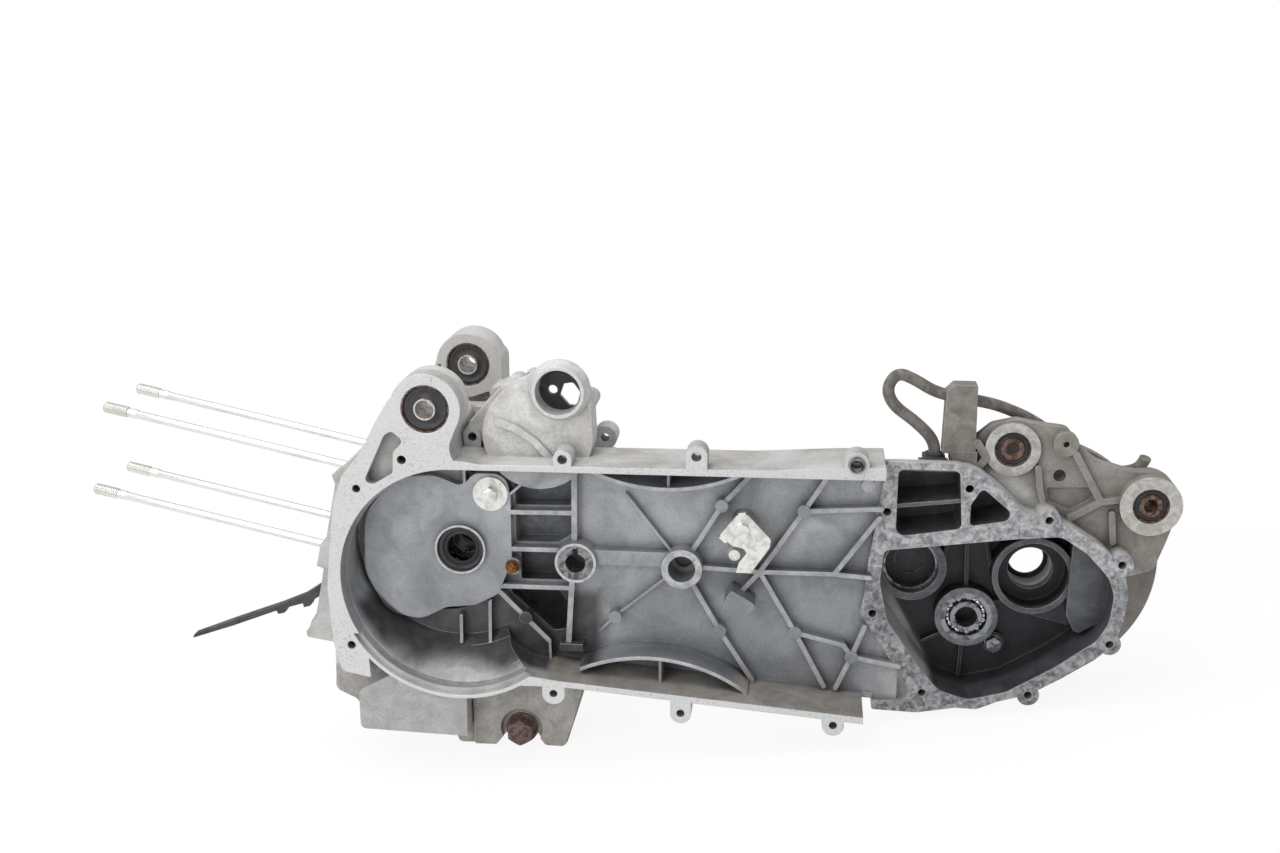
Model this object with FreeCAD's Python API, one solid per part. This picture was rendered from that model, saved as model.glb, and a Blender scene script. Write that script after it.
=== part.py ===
import FreeCAD, Part
import math
import os

# Crankcase of a small horizontal single-cylinder scooter engine, with the long belt case on its left side.
# Lengths are millimetres. While it is modelled, the crankshaft axis is the Y axis, X runs to the rear wheel,
# Z runs up along the engine's own level, and y = 0 is the machined face that the belt cover bolts to.
# At the end every piece is turned about the crankshaft axis, so that +Z is straight up for the casting
# as it stands on its sump lug and its brake plate, and the middle of the left main bearing becomes the origin.

Vec = FreeCAD.Vector
EPS = 0.01

# Depths across the engine, from the belt cover face towards the right side
cover_face = 0.0
bay_depth = 42.0
bay_floor_wall = 4.0
rib_height = 8.0
crank_face_height = 8.0
gear_face = 38.0
gear_depth = 40.0
gear_back_wall = 6.0
gear_boss_height = 14.0
joint_face = 83.0
gasket_thickness = 0.5
bearing_wall_face = 54.0
bearing_wall = 6.0
brake_plate_face = 92.0
brake_plate_wall = 4.0
brake_rim_height = 9.0
right_side_wall = 6.0
right_wall_face = 126.0
generator_depth = 26.0

# Belt bay, seen from the left side
bay_x = 3.0
bay_z = -12.0
bay_r = 78.5
bay_rim = 6.0
bay_top_front = 66.5
bay_top_rear = 68.5
bay_bottom_front = -80.5
bay_bottom_rear = -97.0
bay_end_x = 284.0
top_rim_front = 4.0
top_rim_rear = 8.5
bottom_rim = 4.0
bottom_wall_end_x = bay_end_x - 8.0
bottom_wall_depth = 28.0
ramp_shift_x = -7.0
ramp_shift_z = 16.0
ramp_r = 71.0
ramp_start = 10.0
lip_width = 2.0
lip_groove = 3.5
lip_depth = 4.0
rib_t = 3.2
thin_rib_t = 1.8
pin_r = 4.4
pin_height = 9.0
arc_wall_t = 2.5
arc_wall_face = 15.0
cover_hole_r = 3.2
lug_depth = 15.0
rear_dowel_r = 5.2
dowel_wall = 1.0
dowel_length = 12.0
dowel_proud = 3.0

# Crankshaft line
seal_r = 16.2
seal_bore_wall = 1.5
seal_collar_height = 4.0
seal_inner_r = 9.8
seal_width = 7.0
seal_setback = 2.5
left_bearing_r = 23.5
left_bearing_bore_r = 10.0
left_bearing_width = 14.0
right_bearing_r = 26.0
right_bearing_bore_r = 10.0
right_bearing_width = 15.0
bearing_boss_wall = 6.0
cage_share = 0.32
crank_room_r = 57.0
generator_r = 62.0
generator_rim = 6.0
case_wall = 6.0

# Cylinder end
cylinder_tilt = 12.15
deck_distance = 94.0
deck_back = 60.0
deck_top = 33.0
deck_bottom = -78.0
deck_reach = 48.0
spigot_r = 29.5
stud_pitch_up = 62.0
stud_pitch_across = 54.0
stud_thread_r = 4.0
stud_root_r = 4.1
stud_shank_r = 2.8
stud_tip_distance = 270.0
stud_tip_thread = 17.0
stud_seat_depth = 22.0
stud_chamfer = 1.0

# Chain guide
guide_y = 48.0
guide_width = 8.0
guide_pivot_x = -60.0
guide_pivot_z = -26.0
guide_pin_r = 4.0
guide_pin_clearance = 0.05
guide_eye_wall = 4.0
guide_side_clearance = 0.5

# Hanger arms and their rubber bushes
hanger_x = -13.0
hanger_z = 107.0
hanger_r = 23.3
hanger_left_width = 26.0
hanger_right_face = 128.0
hanger_right_width = 28.0
hanger_bush_r = 16.0
hanger_inner_r = 7.2
hanger_bore_r = 6.1
sleeve_t = 1.2
bush_proud = 1.5
arm_pocket_depth = 9.0

# Starter gear housing
starter_x = 72.0
starter_z = 116.8
starter_bore_r = 15.0
starter_boss_r = 20.5
starter_boss_face = 13.0
starter_rim_r = 17.3
starter_taper = 8.0
ring_gear_x = 56.5
ring_gear_z = 85.0
ring_gear_r = 37.0
ring_gear_face = 23.0
housing_wall = 5.0
starter_end_x = 62.0
starter_end_z = 99.5
chamber_wall = 4.0

# Kick shaft line in the bay
kick_x = 80.0
kick_z = -5.8
kick_boss_r = 14.2
kick_bush_r = 12.3
kick_bush_bore_r = 6.8
kick_relief_r = 7.5
kick_bush_length = 18.0
kick_notch = 3.6
stub_x = 152.2
stub_z = -7.3
stub_boss_r = 13.9
stub_bore_r = 9.3
stub_step_r = 6.0
stub_bore_depth = 20.0
bay_boss_height = 14.0
strap_w = 10.4
strap_height = 9.0

# Gear bay
primary_x = 307.0
primary_z = -12.0
primary_boss_r = 24.2
primary_bore_r = 19.0
primary_ring_wall = 2.0
primary_ring_width = 9.0
primary_boss_height = 16.0
middle_x = 346.5
middle_z = -47.8
middle_boss_r = 21.4
middle_bearing_r = 17.5
middle_bearing_bore_r = 7.5
middle_bearing_width = 11.0
axle_x = 389.0
axle_z = -14.5
axle_boss_r = 27.4
axle_seat_r = 23.5
axle_seat_depth = 16.0
axle_bore_r = 15.0
axle_seal_r = 21.0
axle_seal_width = 8.0
axle_seal_bore_r = 12.0
axle_hub_r = 29.0
axle_hub_end = 106.0
axle_boss_height = 18.0
brake_plate_r = 88.5
brake_rim_t = 4.0
bay_pocket_depth = 38.0
cover_boss_r = 7.4
tapped_r = 2.7

# Rear bracket
bracket_face = 58.0
bracket_t = 8.0
bracket_rib = 5.0
front_eye_x = 369.0
front_eye_z = 76.0
front_eye_r = 18.2
front_eye_face = 54.0
front_eye_end = 68.0
rear_eye_x = 460.0
rear_eye_z = 41.0
rear_eye_r = 20.2
rear_eye_face = 50.0
rear_eye_end = 74.0
eye_bush_r = 12.0
eye_inner_r = 7.6
eye_bore_r = 4.6

# Hose, its grommet and post
hose_r = 4.0
hose_hole_r = 4.3
grommet_w = 19.0
grommet_depth = 15.0
grommet_h = 4.0
grommet_seat_z = 65.0
seat_margin = 0.4
roof_z = 69.0
roof_start = 45.0
roof_slope = 0.28
roof_wall = 5.0
grommet_neck_r = 6.5
post_x0 = 324.0
post_x1 = 344.0
post_y0 = 54.0
post_y1 = 67.0
post_top = 119.0
post_chamfer = 5.0

# Sump
sump_face = 42.0
block_face = 22.0
sump_lug_x = 63.0
sump_lug_z = -138.0
sump_lug_r = 9.0
sump_cheek_t = 4.0
drain_recess_r = 15.0
drain_x = 38.5
drain_z = -136.0
drain_flats = 17.0
drain_head_h = 9.0
drain_flange_r = 11.5
drain_flange_h = 2.0
drain_washer_t = 1.5
drain_thread_r = 7.0
drain_thread_length = 14.0

# Small parts
guard_washer_x = 21.5
guard_washer_z = 40.0
guard_washer_r = 12.0
guard_washer_t = 1.6
guard_bolt_r = 3.0
guard_head_flats = 10.0
guard_head_h = 5.0
tray_screw_x = 35.5
tray_screw_z = -12.0
tray_screw_r = 4.0
plate_t = 2.0
plate_screw_x = 193.0
plate_screw_z = 25.0
plate_boss_height = 20.0
plate_boss_r = 8.0
plate_screw_r = 2.5
plate_screw_head_r = 4.6
stop_pin_x = 188.0
stop_pin_z = 8.0
stop_pin_r = 2.4
stop_pin_head_r = 3.8
gear_bolt_x = 366.8
gear_bolt_z = -69.0
gear_bolt_flats = 10.0
gear_bolt_r = 3.0
joining_bolt_r = 3.0
joining_head_flats = 10.0
joining_flange_r = 6.5
joining_head_h = 6.0
joining_washer_h = 1.5
joining_thread = 20.0
joining_lug_r = 8.0
joining_clearance = 0.3
right_flange = 9.0
generator_holes = 6
anchor_pin_r = 6.0
anchor_pin_root_r = 5.0
anchor_pin_gap = 1.0
anchor_boss_height = 6.0
anchor_pin_length = 24.0
anchor_pin_drop = 62.0


def cylinder(x, z, r, y0, y1):
    """Round bar along Y between two depths."""
    return Part.makeCylinder(r, y1 - y0, Vec(x, y0, z), Vec(0, 1, 0))


def ring(x, z, r_out, r_in, y0, y1):
    """Round tube along Y between two depths."""
    return cylinder(x, z, r_out, y0, y1).cut(cylinder(x, z, r_in, y0 - 1, y1 + 1))


def box(x0, x1, y0, y1, z0, z1):
    """Block between pairs of limits."""
    return Part.makeBox(x1 - x0, y1 - y0, z1 - z0, Vec(x0, y0, z0))


def outline(corners):
    """Closed wire in the plane y = 0 through corners (x, z, radius), each rounded by its radius."""
    count = len(corners)
    entries = []
    for i in range(count):
        x, z, r = corners[i]
        p = Vec(x, 0, z)
        before = Vec(corners[i - 1][0], 0, corners[i - 1][1]) - p
        after = Vec(corners[(i + 1) % count][0], 0, corners[(i + 1) % count][1]) - p
        half = before.getAngle(after) / 2
        before.normalize()
        after.normalize()
        if r < EPS or half > math.pi / 2 - EPS:
            entries.append((p, None, p))
            continue
        reach = r / math.tan(half)
        middle = before + after
        middle.normalize()
        top = p + middle * (r / math.sin(half) - r)
        entries.append((p + before * reach, top, p + after * reach))
    edges = []
    for i in range(count):
        start, top, end = entries[i]
        if top is not None:
            edges.append(Part.Arc(start, top, end).toShape())
        following = entries[(i + 1) % count][0]
        if end.distanceToPoint(following) > EPS:
            edges.append(Part.LineSegment(end, following).toShape())
    return Part.Wire(edges)


def prism(corners, y0, y1):
    """Outline of rounded corners pushed along Y between two depths."""
    face = Part.Face(outline(corners))
    solid = face.extrude(Vec(0, y1 - y0, 0))
    solid.translate(Vec(0, y0, 0))
    return solid


def wall(points, t, y0, y1):
    """Ribs of one thickness along a line of (x, z) points, round at each point."""
    parts = []
    for (xa, za), (xb, zb) in zip(points[:-1], points[1:]):
        run = math.hypot(xb - xa, zb - za)
        nx = -(zb - za) / run * t / 2
        nz = (xb - xa) / run * t / 2
        corners = [(xa + nx, za + nz, 0), (xb + nx, zb + nz, 0), (xb - nx, zb - nz, 0), (xa - nx, za - nz, 0)]
        parts.append(prism(corners, y0, y1))
    for x, z in points:
        parts.append(cylinder(x, z, t / 2, y0, y1))
    return fuse(parts)


def arc_wall(start, middle, end, t, y0, y1):
    """Wall of one thickness along the arc through three (x, z) points."""
    arc = Part.Arc(Vec(start[0], 0, start[1]), Vec(middle[0], 0, middle[1]), Vec(end[0], 0, end[1])).toShape()
    centre = arc.Curve.Center
    radius = arc.Curve.Radius
    band = ring(centre.x, centre.z, radius + t / 2, radius - t / 2, y0, y1)
    reach = 2 * radius
    wedge = [(centre.x, centre.z, 0)]
    for x, z in (start, middle, end):
        run = math.hypot(x - centre.x, z - centre.z)
        wedge.append((centre.x + (x - centre.x) / run * reach, centre.z + (z - centre.z) / run * reach, 0))
    return band.common(prism(wedge, y0 - 1, y1 + 1))


def slanted(x0, z0, r0, y0, x1, z1, r1, y1):
    """Solid between a circle at one depth and a circle at another place and depth."""
    near = Part.Wire([Part.Circle(Vec(x0, y0, z0), Vec(0, 1, 0), r0).toShape()])
    far = Part.Wire([Part.Circle(Vec(x1, y1, z1), Vec(0, 1, 0), r1).toShape()])
    return Part.makeLoft([near, far], True, True)


def above_roof(lowered, y1):
    """Everything above the sloping top of the gear case, lowered by a wall where it shapes the hollow."""
    drop = roof_slope * (y1 - roof_start)
    points = [(roof_start, roof_z - lowered), (y1, roof_z - lowered - drop), (y1, roof_z + 40), (roof_start, roof_z + 40)]
    wire = Part.makePolygon([Vec(284, y, z) for y, z in points + points[:1]])
    return Part.Face(wire).extrude(Vec(64, 0, 0))


def hexagon(x, z, flats, y0, y1):
    """Hexagonal bar along Y."""
    corner = flats / math.sqrt(3)
    points = []
    for k in range(6):
        angle = math.radians(60 * k + 30)
        points.append((x + corner * math.cos(angle), z + corner * math.sin(angle), 0))
    return prism(points, y0, y1)


def fuse(parts):
    """One shape out of many."""
    if len(parts) == 1:
        return parts[0]
    return parts[0].multiFuse(parts[1:])


def deck_point(distance, up):
    """(x, z) at a distance from the crank along the cylinder axis, and a height square to it."""
    angle = math.radians(cylinder_tilt)
    x = -distance * math.cos(angle) + up * math.sin(angle)
    z = distance * math.sin(angle) + up * math.cos(angle)
    return x, z


def deck_corner(distance, up, radius=0.0):
    """Corner of an outline at a place measured along the cylinder axis."""
    x, z = deck_point(distance, up)
    return x, z, radius


def along_cylinder(distance, up, y, r, length):
    """Round bar along the cylinder axis, from a distance outwards."""
    x, z = deck_point(distance, up)
    angle = math.radians(cylinder_tilt)
    return Part.makeCylinder(r, length, Vec(x, y, z), Vec(-math.cos(angle), 0, math.sin(angle)))


def standing_angle():
    """Turn about the crank axis, in degrees, that stands the sump lug and the brake plate on one level."""
    dx = axle_x - sump_lug_x
    dz = axle_z - sump_lug_z
    span = math.hypot(dx, dz)
    slope = math.atan2(dz, dx) + math.asin((sump_lug_r - brake_plate_r) / span)
    return math.degrees(slope)


# Planes that follow from the driving sizes
bay_floor = cover_face + bay_depth
bay_back = bay_floor + bay_floor_wall
rib_top = bay_floor - rib_height
crank_face = bay_floor - crank_face_height
crank_face_inside = crank_face + bay_floor_wall
gear_floor = gear_face + gear_depth
gear_back = gear_floor + gear_back_wall
right_joint = joint_face + gasket_thickness
right_outside = right_wall_face + right_side_wall
generator_face = right_outside + generator_depth
bay_boss_face = bay_floor - bay_boss_height
middle_face = gear_floor - gear_boss_height
datum_y = bearing_wall_face + left_bearing_width / 2
guide_end = guide_y + guide_width
guide_pin_start = crank_face + 5
guide_pin_end = guide_end + 9
stud_ups = (stud_pitch_up / 2, -stud_pitch_up / 2)
stud_depths = (joint_face - stud_pitch_across / 2, joint_face + stud_pitch_across / 2)

# Outside of the crank room and sump, without the arms and the starter housing
case_outline = [
    deck_corner(deck_distance, deck_top, 1.5), (-66, 58, 8), (-40, 63, 12), (10, 68, 8), (60, 69, 8),
    (88, 60, 6), (102, 58, 3), (97, 40, 10), (87, -10, 40), (85, -70, 20), (83, -106, 6), (75.5, -131, 8),
    (70, -149, 4), (55, -149, 4), (48, -139, 5), (27, -141, 6), (20, -150, 3), (-8, -151, 4),
    (-11, -136, 3), (-74, -134, 6), (-82, -121, 6), (-97, -114, 6), (-95, -78, 3),
    (-116, -74, 1.5), (-112, -62, 2), deck_corner(deck_distance, deck_bottom, 2),
]
right_outline = [
    deck_corner(deck_distance, deck_top, 1.5), (-66, 58, 8), (-40, 63, 12), (10, 66, 8), (56, 60, 8),
    (70, 50, 10), (78, 30, 20), (77, -60, 20), (72, -112, 8), (66, -138, 6), (20, -140, 6), (-60, -132, 10),
    (-84, -112, 10), (-86, -60, 10), deck_corner(deck_distance, -52, 3),
]
sump_room = [
    (-88, -62, 6), (-90, -108, 6), (-76, -117, 6), (-68, -128, 4), (10, -130, 6), (20, -133, 4),
    (60, -130, 8), (72, -104, 10), (78, -60, 10), (60, -30, 10), (-60, -30, 10),
]
right_room = [
    (-80, -62, 6), (-78, -108, 6), (-56, -126, 8), (18, -134, 4), (60, -132, 4), (66, -112, 8), (70, -60, 10),
    (60, -30, 10), (-60, -30, 10),
]
crank_face_outline = [
    (-67, 22, 28), (-46, 49, 24), (-18, 52, 22), (2, 44, 8), (10, 54, 9), (32, 54, 10), (35, 38, 5),
    (35, -8, 4), (25, -33, 8), (8, -42, 14), (-12, -44, 14), (-30, -54, 16), (-54, -49, 20), (-69, -20, 30),
]
gear_outline = [
    (283, -108, 1.5), (314, -109, 30), (340, -104, 14), (354, -104.5, 8), (368, -98, 12), (388, -92, 12),
    (408, -79.5, 20), (430, -64, 10), (441, -53, 10), (446, -37, 20), (448, -17, 22), (443.5, 2, 18),
    (427, 17.5, 22), (408, 29, 16), (393, 34, 18), (378, 36.5, 14), (364, 51, 30), (347, 65, 14), (333, 70, 8),
    (286, 70, 3), (282, 35, 20), (277, 1, 30), (275, -25, 20), (272, -37, 6), (284, -55, 10), (309, -94, 5),
    (305, -101, 3), (283, -101, 1),
]
gear_room = [
    (287, 8, 4), (374, 19.5, 30), (402, 22, 12), (419, 11, 18), (434, -5, 16), (439, -18, 20), (437, -38, 20),
    (430, -51, 10), (403, -72, 20), (373, -91, 14), (348, -98, 14), (328, -92, 16), (312, -73, 20),
    (291, -42, 12), (285, -15, 20),
]
gear_cover_bosses = [
    (287.8, 35.3), (281.0, -37.4), (316.8, -94.1), (340.7, 53.1), (393.3, 33.0),
    (442.2, 3.8), (438.6, -52.8), (387.8, -92.3),
]
joining_bolts = [(9.6, 79.0), (-74.0, 36.0), (70.0, -40.0), (-76.0, -104.0), (64.0, -104.0), (5.0, -134.0)]
starter_lugs = [(45.0, 110.5, 6.5, 70.0), (84.5, 98.0, 6.0, 62.0), (95.5, 72.0, 8.3, 68.0)]


def belt_bay_outside():
    """Outer form of the belt case: the round front and the long tapering rear."""
    front = cylinder(bay_x, bay_z, bay_r + bay_rim, cover_face, bay_back)
    rear_corners = [
        (bay_x, bay_z - 40, 0), (bay_x, bay_top_front + top_rim_front, 0), (200, bay_top_front + 6, 30),
        (bay_end_x - 30, bay_top_rear + top_rim_rear - 1, 20), (bay_end_x, bay_top_rear + top_rim_rear, 1),
        (bay_end_x, bay_bottom_rear - bottom_rim, 1), (bottom_wall_end_x, bay_bottom_rear - bottom_rim, 1),
        (73, bay_bottom_front - bottom_rim, 30), (46, bay_bottom_front - bottom_rim - 0.5, 8),
    ]
    rear = prism(rear_corners, cover_face, bay_back)
    beyond = box(bottom_wall_end_x, bay_end_x + 2, cover_face + bottom_wall_depth, bay_floor - 1, -110, -60)
    near = box(bottom_wall_end_x, bay_end_x + 2, cover_face - 1, cover_face + bottom_wall_depth, -110, -60)
    return fuse([front, rear]).cut(fuse([near, beyond]))


def belt_bay_inside():
    """Hollow of the belt case, with the ramped bottom of its round front."""
    front = cylinder(bay_x, bay_z, bay_r, cover_face - 1, ramp_start)
    big = Part.Wire([Part.Circle(Vec(bay_x, ramp_start, bay_z), Vec(0, 1, 0), bay_r - lip_width).toShape()])
    small_centre = Vec(bay_x + ramp_shift_x, bay_floor, bay_z + ramp_shift_z)
    small = Part.Wire([Part.Circle(small_centre, Vec(0, 1, 0), ramp_r).toShape()])
    ramp = Part.makeLoft([big, small], True, True)
    span = 2 * bay_r
    below_top = box(bay_x - span, bay_x + span, ramp_start - 1, bay_floor, bay_z - span, bay_top_front)
    rear_corners = [
        (bay_x, bay_z, 0), (bay_x, bay_top_front, 0), (bay_end_x + 30, bay_top_rear + 0.2, 0),
        (bay_end_x + 30, bay_bottom_rear - 2.4, 0), (73, bay_bottom_front, 30), (50, bay_bottom_front + 3, 6),
        (35, bay_bottom_front + 12, 0),
    ]
    rear = prism(rear_corners, cover_face - 1, bay_floor)
    return fuse([front, ramp.common(below_top), rear])


def bay_ribs():
    """Rib lattice, round pins and bosses on the floor of the belt bay."""
    y1 = bay_floor + 1
    node = (204.6, -9.3)
    tail = (254.4, -8.9)
    pin_a, pin_b, pin_c = (178.4, 36.8), (233.2, 34.9), (229.6, -52.4)
    pin_d, pin_e, pin_f = (268.0, -68.2), (178.2, -53.1), (106.3, -46.2)
    stub = (stub_x, stub_z)
    thick = [
        [stub, pin_a, (200, 62), (204, 70)],
        [stub, node, tail, (278, -10.5)],
        [node, pin_b, (252, 66)],
        [pin_b, (284, 38.2)],
        [tail, (283, 32)],
        [node, pin_c, (250, -91)],
        [pin_c, (262.4, -60), pin_d, (300, -74)],
        [pin_d, (276, -46)],
        [pin_d, (258, -92)],
        [stub, pin_e, (201, -89)],
        [node, (190, -27)],
    ]
    thin = [[stub, (113.8, 41.8)], [stub, pin_f, (96, -57)]]
    parts = [wall(line, rib_t, rib_top, y1) for line in thick]
    parts += [wall(line, thin_rib_t, rib_top + 2, y1) for line in thin]
    for x, z in (pin_a, pin_b, pin_c, pin_d, pin_e, pin_f):
        parts.append(cylinder(x, z, pin_r, bay_floor - pin_height, y1))
    strap = box(kick_x, stub_x, bay_floor - strap_height, y1, stub_z + 4.5 - strap_w / 2, stub_z + 4.5 + strap_w / 2)
    parts.append(strap)
    parts.append(cylinder(116, stub_z + 4.5, 3.4, bay_floor - strap_height - 0.4, y1))
    pad = [(186, -18.6, 2), (201.5, -27.8, 1), (202.3, -31, 1), (194, -38.9, 2), (180.7, -30.4, 2), (182.2, -25.3, 1)]
    parts.append(prism(pad, bay_floor - 20, y1))
    parts.append(cylinder(plate_screw_x, plate_screw_z, plate_boss_r, bay_floor - plate_boss_height, y1))
    parts.append(cylinder(stop_pin_x, stop_pin_z, 4.5, bay_floor - plate_boss_height + 3, y1))
    parts.append(cylinder(stub_x, stub_z, stub_boss_r, bay_boss_face, bay_floor + 16))
    parts.append(cylinder(kick_x, kick_z, kick_boss_r, bay_boss_face, bay_floor + 14))
    return fuse(parts)


def front_ribs():
    """Ribs between the raised crank face and the upright rib beside the kick shaft boss."""
    y1 = bearing_wall_face + 3
    upright = [(79, 64), (78.5, 8), (76.5, -22), (73.5, -70)]
    lines = [
        ([(33, 27), (79, 28)], rib_t), ([(33, 0.5), (78, 1)], rib_t), ([(22, -27), (77, -26.5)], rib_t),
        (upright, rib_t + 0.6), ([(22, -27), (60, -66)], rib_t),
        ([(3.6, 42), (3.6, 67)], thin_rib_t), ([(-1.5, -42), (-2, -70)], thin_rib_t + 0.4),
        ([(19, -36), (18.4, -72)], thin_rib_t + 0.4), ([(60.5, -66), (61, -84)], thin_rib_t),
        ([(35, 40), (46, 50)], thin_rib_t),
    ]
    parts = [wall(points, t, rib_top, y1) for points, t in lines]
    parts.append(cylinder(43.9, -49.5, pin_r, bay_floor - pin_height, y1))
    parts.append(box(68, 84, bay_floor - 11, bay_floor + 1, -71.5, -66.5))
    return fuse(parts)


def cover_lugs():
    """Ears for the belt cover screws, with the height of each ear's round end."""
    return [
        (76.5, 75.8, 6.2), (163.5, 80.5, 7.2), (265.3, 78.5, 8.0), (68.3, -89.6, 7.8),
        (154.5, -99.6, 7.2), (256.3, -103.0, 7.4),
    ]


def near_arm_outline():
    """Left hanger arm with the bosses of the front edge."""
    return [
        (hanger_x - 22, hanger_z + 9, 6), (-46, 98, 12), (-57, 77, 20), (-71, 60, 6), (-78, 40, 8), (-82, 10, 20),
        (-70, 0, 0), (-20, 60, 0), (20, 68, 0), (6, 70, 3), (1, 80, 14), (hanger_x + hanger_r - 0.2, hanger_z - 4, 8),
        (hanger_x, hanger_z, 0),
    ]


def sump_cheek():
    """Rough thickening of the sump's face, hollowed round the drain screw."""
    cheek = prism(
        [(4, -93, 0), (22, -91, 0), (38, -86.5, 0), (50, -83, 0), (70, -83, 0), (82, -104, 6), (75, -131, 8),
         (69.5, -148.4, 4), (55.5, -148.4, 4), (48.4, -138.4, 5), (27, -140.4, 6), (20, -149.4, 3), (4, -149.8, 2)],
        sump_face - sump_cheek_t, sump_face + 1)
    return cheek.cut(cylinder(drain_x, drain_z, drain_recess_r, sump_face - sump_cheek_t - 1, sump_face + 1))


def left_crankcase():
    """Left half of the crankcase, cast in one with the belt case, gear case, brake plate and rear bracket."""
    body = prism(case_outline, bay_floor, joint_face)
    block = prism([(-74, -105, 6), (-74, -134, 4), (3, -136, 1), (3, -96, 0), (-40, -86, 0)], block_face, bay_floor + 1)
    deck = prism(
        [deck_corner(deck_distance, deck_top, 1), deck_corner(deck_back, deck_top, 0),
         deck_corner(deck_back, -40), deck_corner(deck_distance, -40)],
        joint_face - deck_reach, bay_floor + 1)
    web = prism([(-87.5, 50.5, 1), (-66, 68.5, 0), (-53, 57, 0), (-70, 36, 0), (-84, 40, 0)], 30, 44)
    lobe = prism(
        [(-84, 18, 0), (-91.5, 8.5, 1), (-100, -1.5, 3), (-102.5, -12, 2), (-104, -18.5, 1), (-97, -20, 0),
         (-80, -20, 0)], 36, 68)
    front_edge = prism(
        [(-70, 50, 0), (-86, 45, 2), (-92, 15, 10), (-95, -4, 4), (-99, -19, 8), (-107, -57, 3), (-116, -70, 1),
         (-115, -74, 1), (-95, -77, 3), (-96, -113, 6), (-80, -120, 6), (-60, -100, 0), (-50, -60, 0), (-60, 0, 0)],
        cover_face + 40, bay_floor + 4)
    corner = prism(
        [(-76, 30, 0), (-82, 10, 10), (-85, -20, 20), (-83, -58, 8), (-78, -80, 6), (-58, -84, 0), (-60, -40, 0)],
        cover_face, bay_floor)
    arm = prism(near_arm_outline(), cover_face, cover_face + hanger_left_width)
    arm_head = cylinder(hanger_x, hanger_z, hanger_r, cover_face, cover_face + hanger_left_width)
    arm_root = prism([(-48, 56, 0), (-52, 84, 8), (-34, 98, 8), (0, 92, 8), (4, 68, 0)],
                     cover_face + hanger_left_width - 1, joint_face)
    roof_end = brake_plate_face + 1
    gear = prism(gear_outline, gear_face, brake_plate_face).cut(above_roof(0, roof_end))
    x_seat, y_seat = hose_points()[0][:2]
    seat_x = grommet_w / 2 + seat_margin
    seat_y = grommet_depth / 2 + seat_margin
    seat = box(x_seat - seat_x, x_seat + seat_x, y_seat - seat_y, y_seat + seat_y, grommet_seat_z - 6, grommet_seat_z)
    over_seat = box(x_seat - seat_x, x_seat + seat_x, y_seat - seat_y, y_seat + seat_y, grommet_seat_z,
                    hose_points()[0][2] + 2 * seat_margin)
    gear = gear.fuse(seat)
    bracket = prism(
        [(330, 60, 0), (346, 84, 8), (355, 92, 8), (371, 96, 10), (386, 93, 20), (404, 91, 8), (413, 79, 10),
         (424, 69, 20), (446, 63, 10), (466, 61, 12), (481, 42, 12), (474, 16, 14), (467, -6, 8), (448, -12, 0),
         (400, 10, 0)], bracket_face, bracket_face + bracket_t)
    floor_link = prism([(270, 69, 0), (300, 69, 0), (300, -101, 0), (283, -101, 0), (270, -98, 0)], bay_floor, bay_back)
    parts = [
        belt_bay_outside(), body, block, deck, web, lobe, front_edge, corner, arm, arm_head, arm_root, gear, bracket, floor_link,
        cylinder(axle_x, axle_z, brake_plate_r, brake_plate_face, brake_plate_face + brake_plate_wall),
        ring(axle_x, axle_z, brake_plate_r, brake_plate_r - brake_rim_t, brake_plate_face,
             brake_plate_face + brake_rim_height),
        cylinder(front_eye_x, front_eye_z, front_eye_r, front_eye_face, front_eye_end),
        cylinder(rear_eye_x, rear_eye_z, rear_eye_r, rear_eye_face, rear_eye_end),
        cylinder(403, 81, 8.2, bracket_face - bracket_rib, bracket_face + 1),
        wall([(386, 64), (388, 50), (393, 33)], 4, bracket_face - bracket_rib, bracket_face + 1),
        wall([(410, 74), (418, 60), (428, 42), (409, 30)], 4.5, bracket_face - bracket_rib, bracket_face + 1),
        wall([(428, 42), (442, 44)], 4, bracket_face - bracket_rib, bracket_face + 1),
        wall([(436, 34), (438, 14)], 4, bracket_face - bracket_rib, bracket_face + 1),
        wall([(346, 80), (352, 70), (346, 62)], 5, bracket_face - bracket_rib, bracket_face + 1),
        box(330, 346, bracket_face - bracket_rib, bracket_face + 1, 60, 74),
        prism([(post_x0 - 1, 66, 0), (post_x0, post_top - post_chamfer, 1), (post_x0 + post_chamfer, post_top, 1),
               (post_x1, post_top, 1), (post_x1 + 1, 66, 0)], post_y0, post_y1),
        cylinder(drain_x, drain_z, drain_flange_r + 0.5, sump_face, sump_face + 20),
        sump_cheek(),
        cylinder(-61.4, 51.3, 8, cover_face, cover_face + 20),
        cylinder(-70.3, -60.6, 7, cover_face, cover_face + 26),
    ]
    for x, z in gear_cover_bosses:
        parts.append(cylinder(x, z, cover_boss_r, gear_face, gear_face + 24))
    for x, z, r in cover_lugs():
        parts.append(cylinder(x, z, r, cover_face, cover_face + lug_depth))
        inward = -9 if z > 0 else 9
        parts.append(wall([(x, z), (x, z + inward)], 2 * r - 0.4, cover_face, cover_face + lug_depth))
    for x, z, r, near in starter_lugs:
        parts.append(cylinder(x, z, r, near, joint_face))
        parts.append(wall([(x, z), (x - 9, z - 12)], 2 * r - 0.6, near, joint_face))
    for x, z in joining_bolts:
        parts.append(cylinder(x, z, joining_lug_r, bay_back + 4, joint_face))
    casting = fuse(parts).cut(fuse([belt_bay_inside(), over_seat]))

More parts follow.
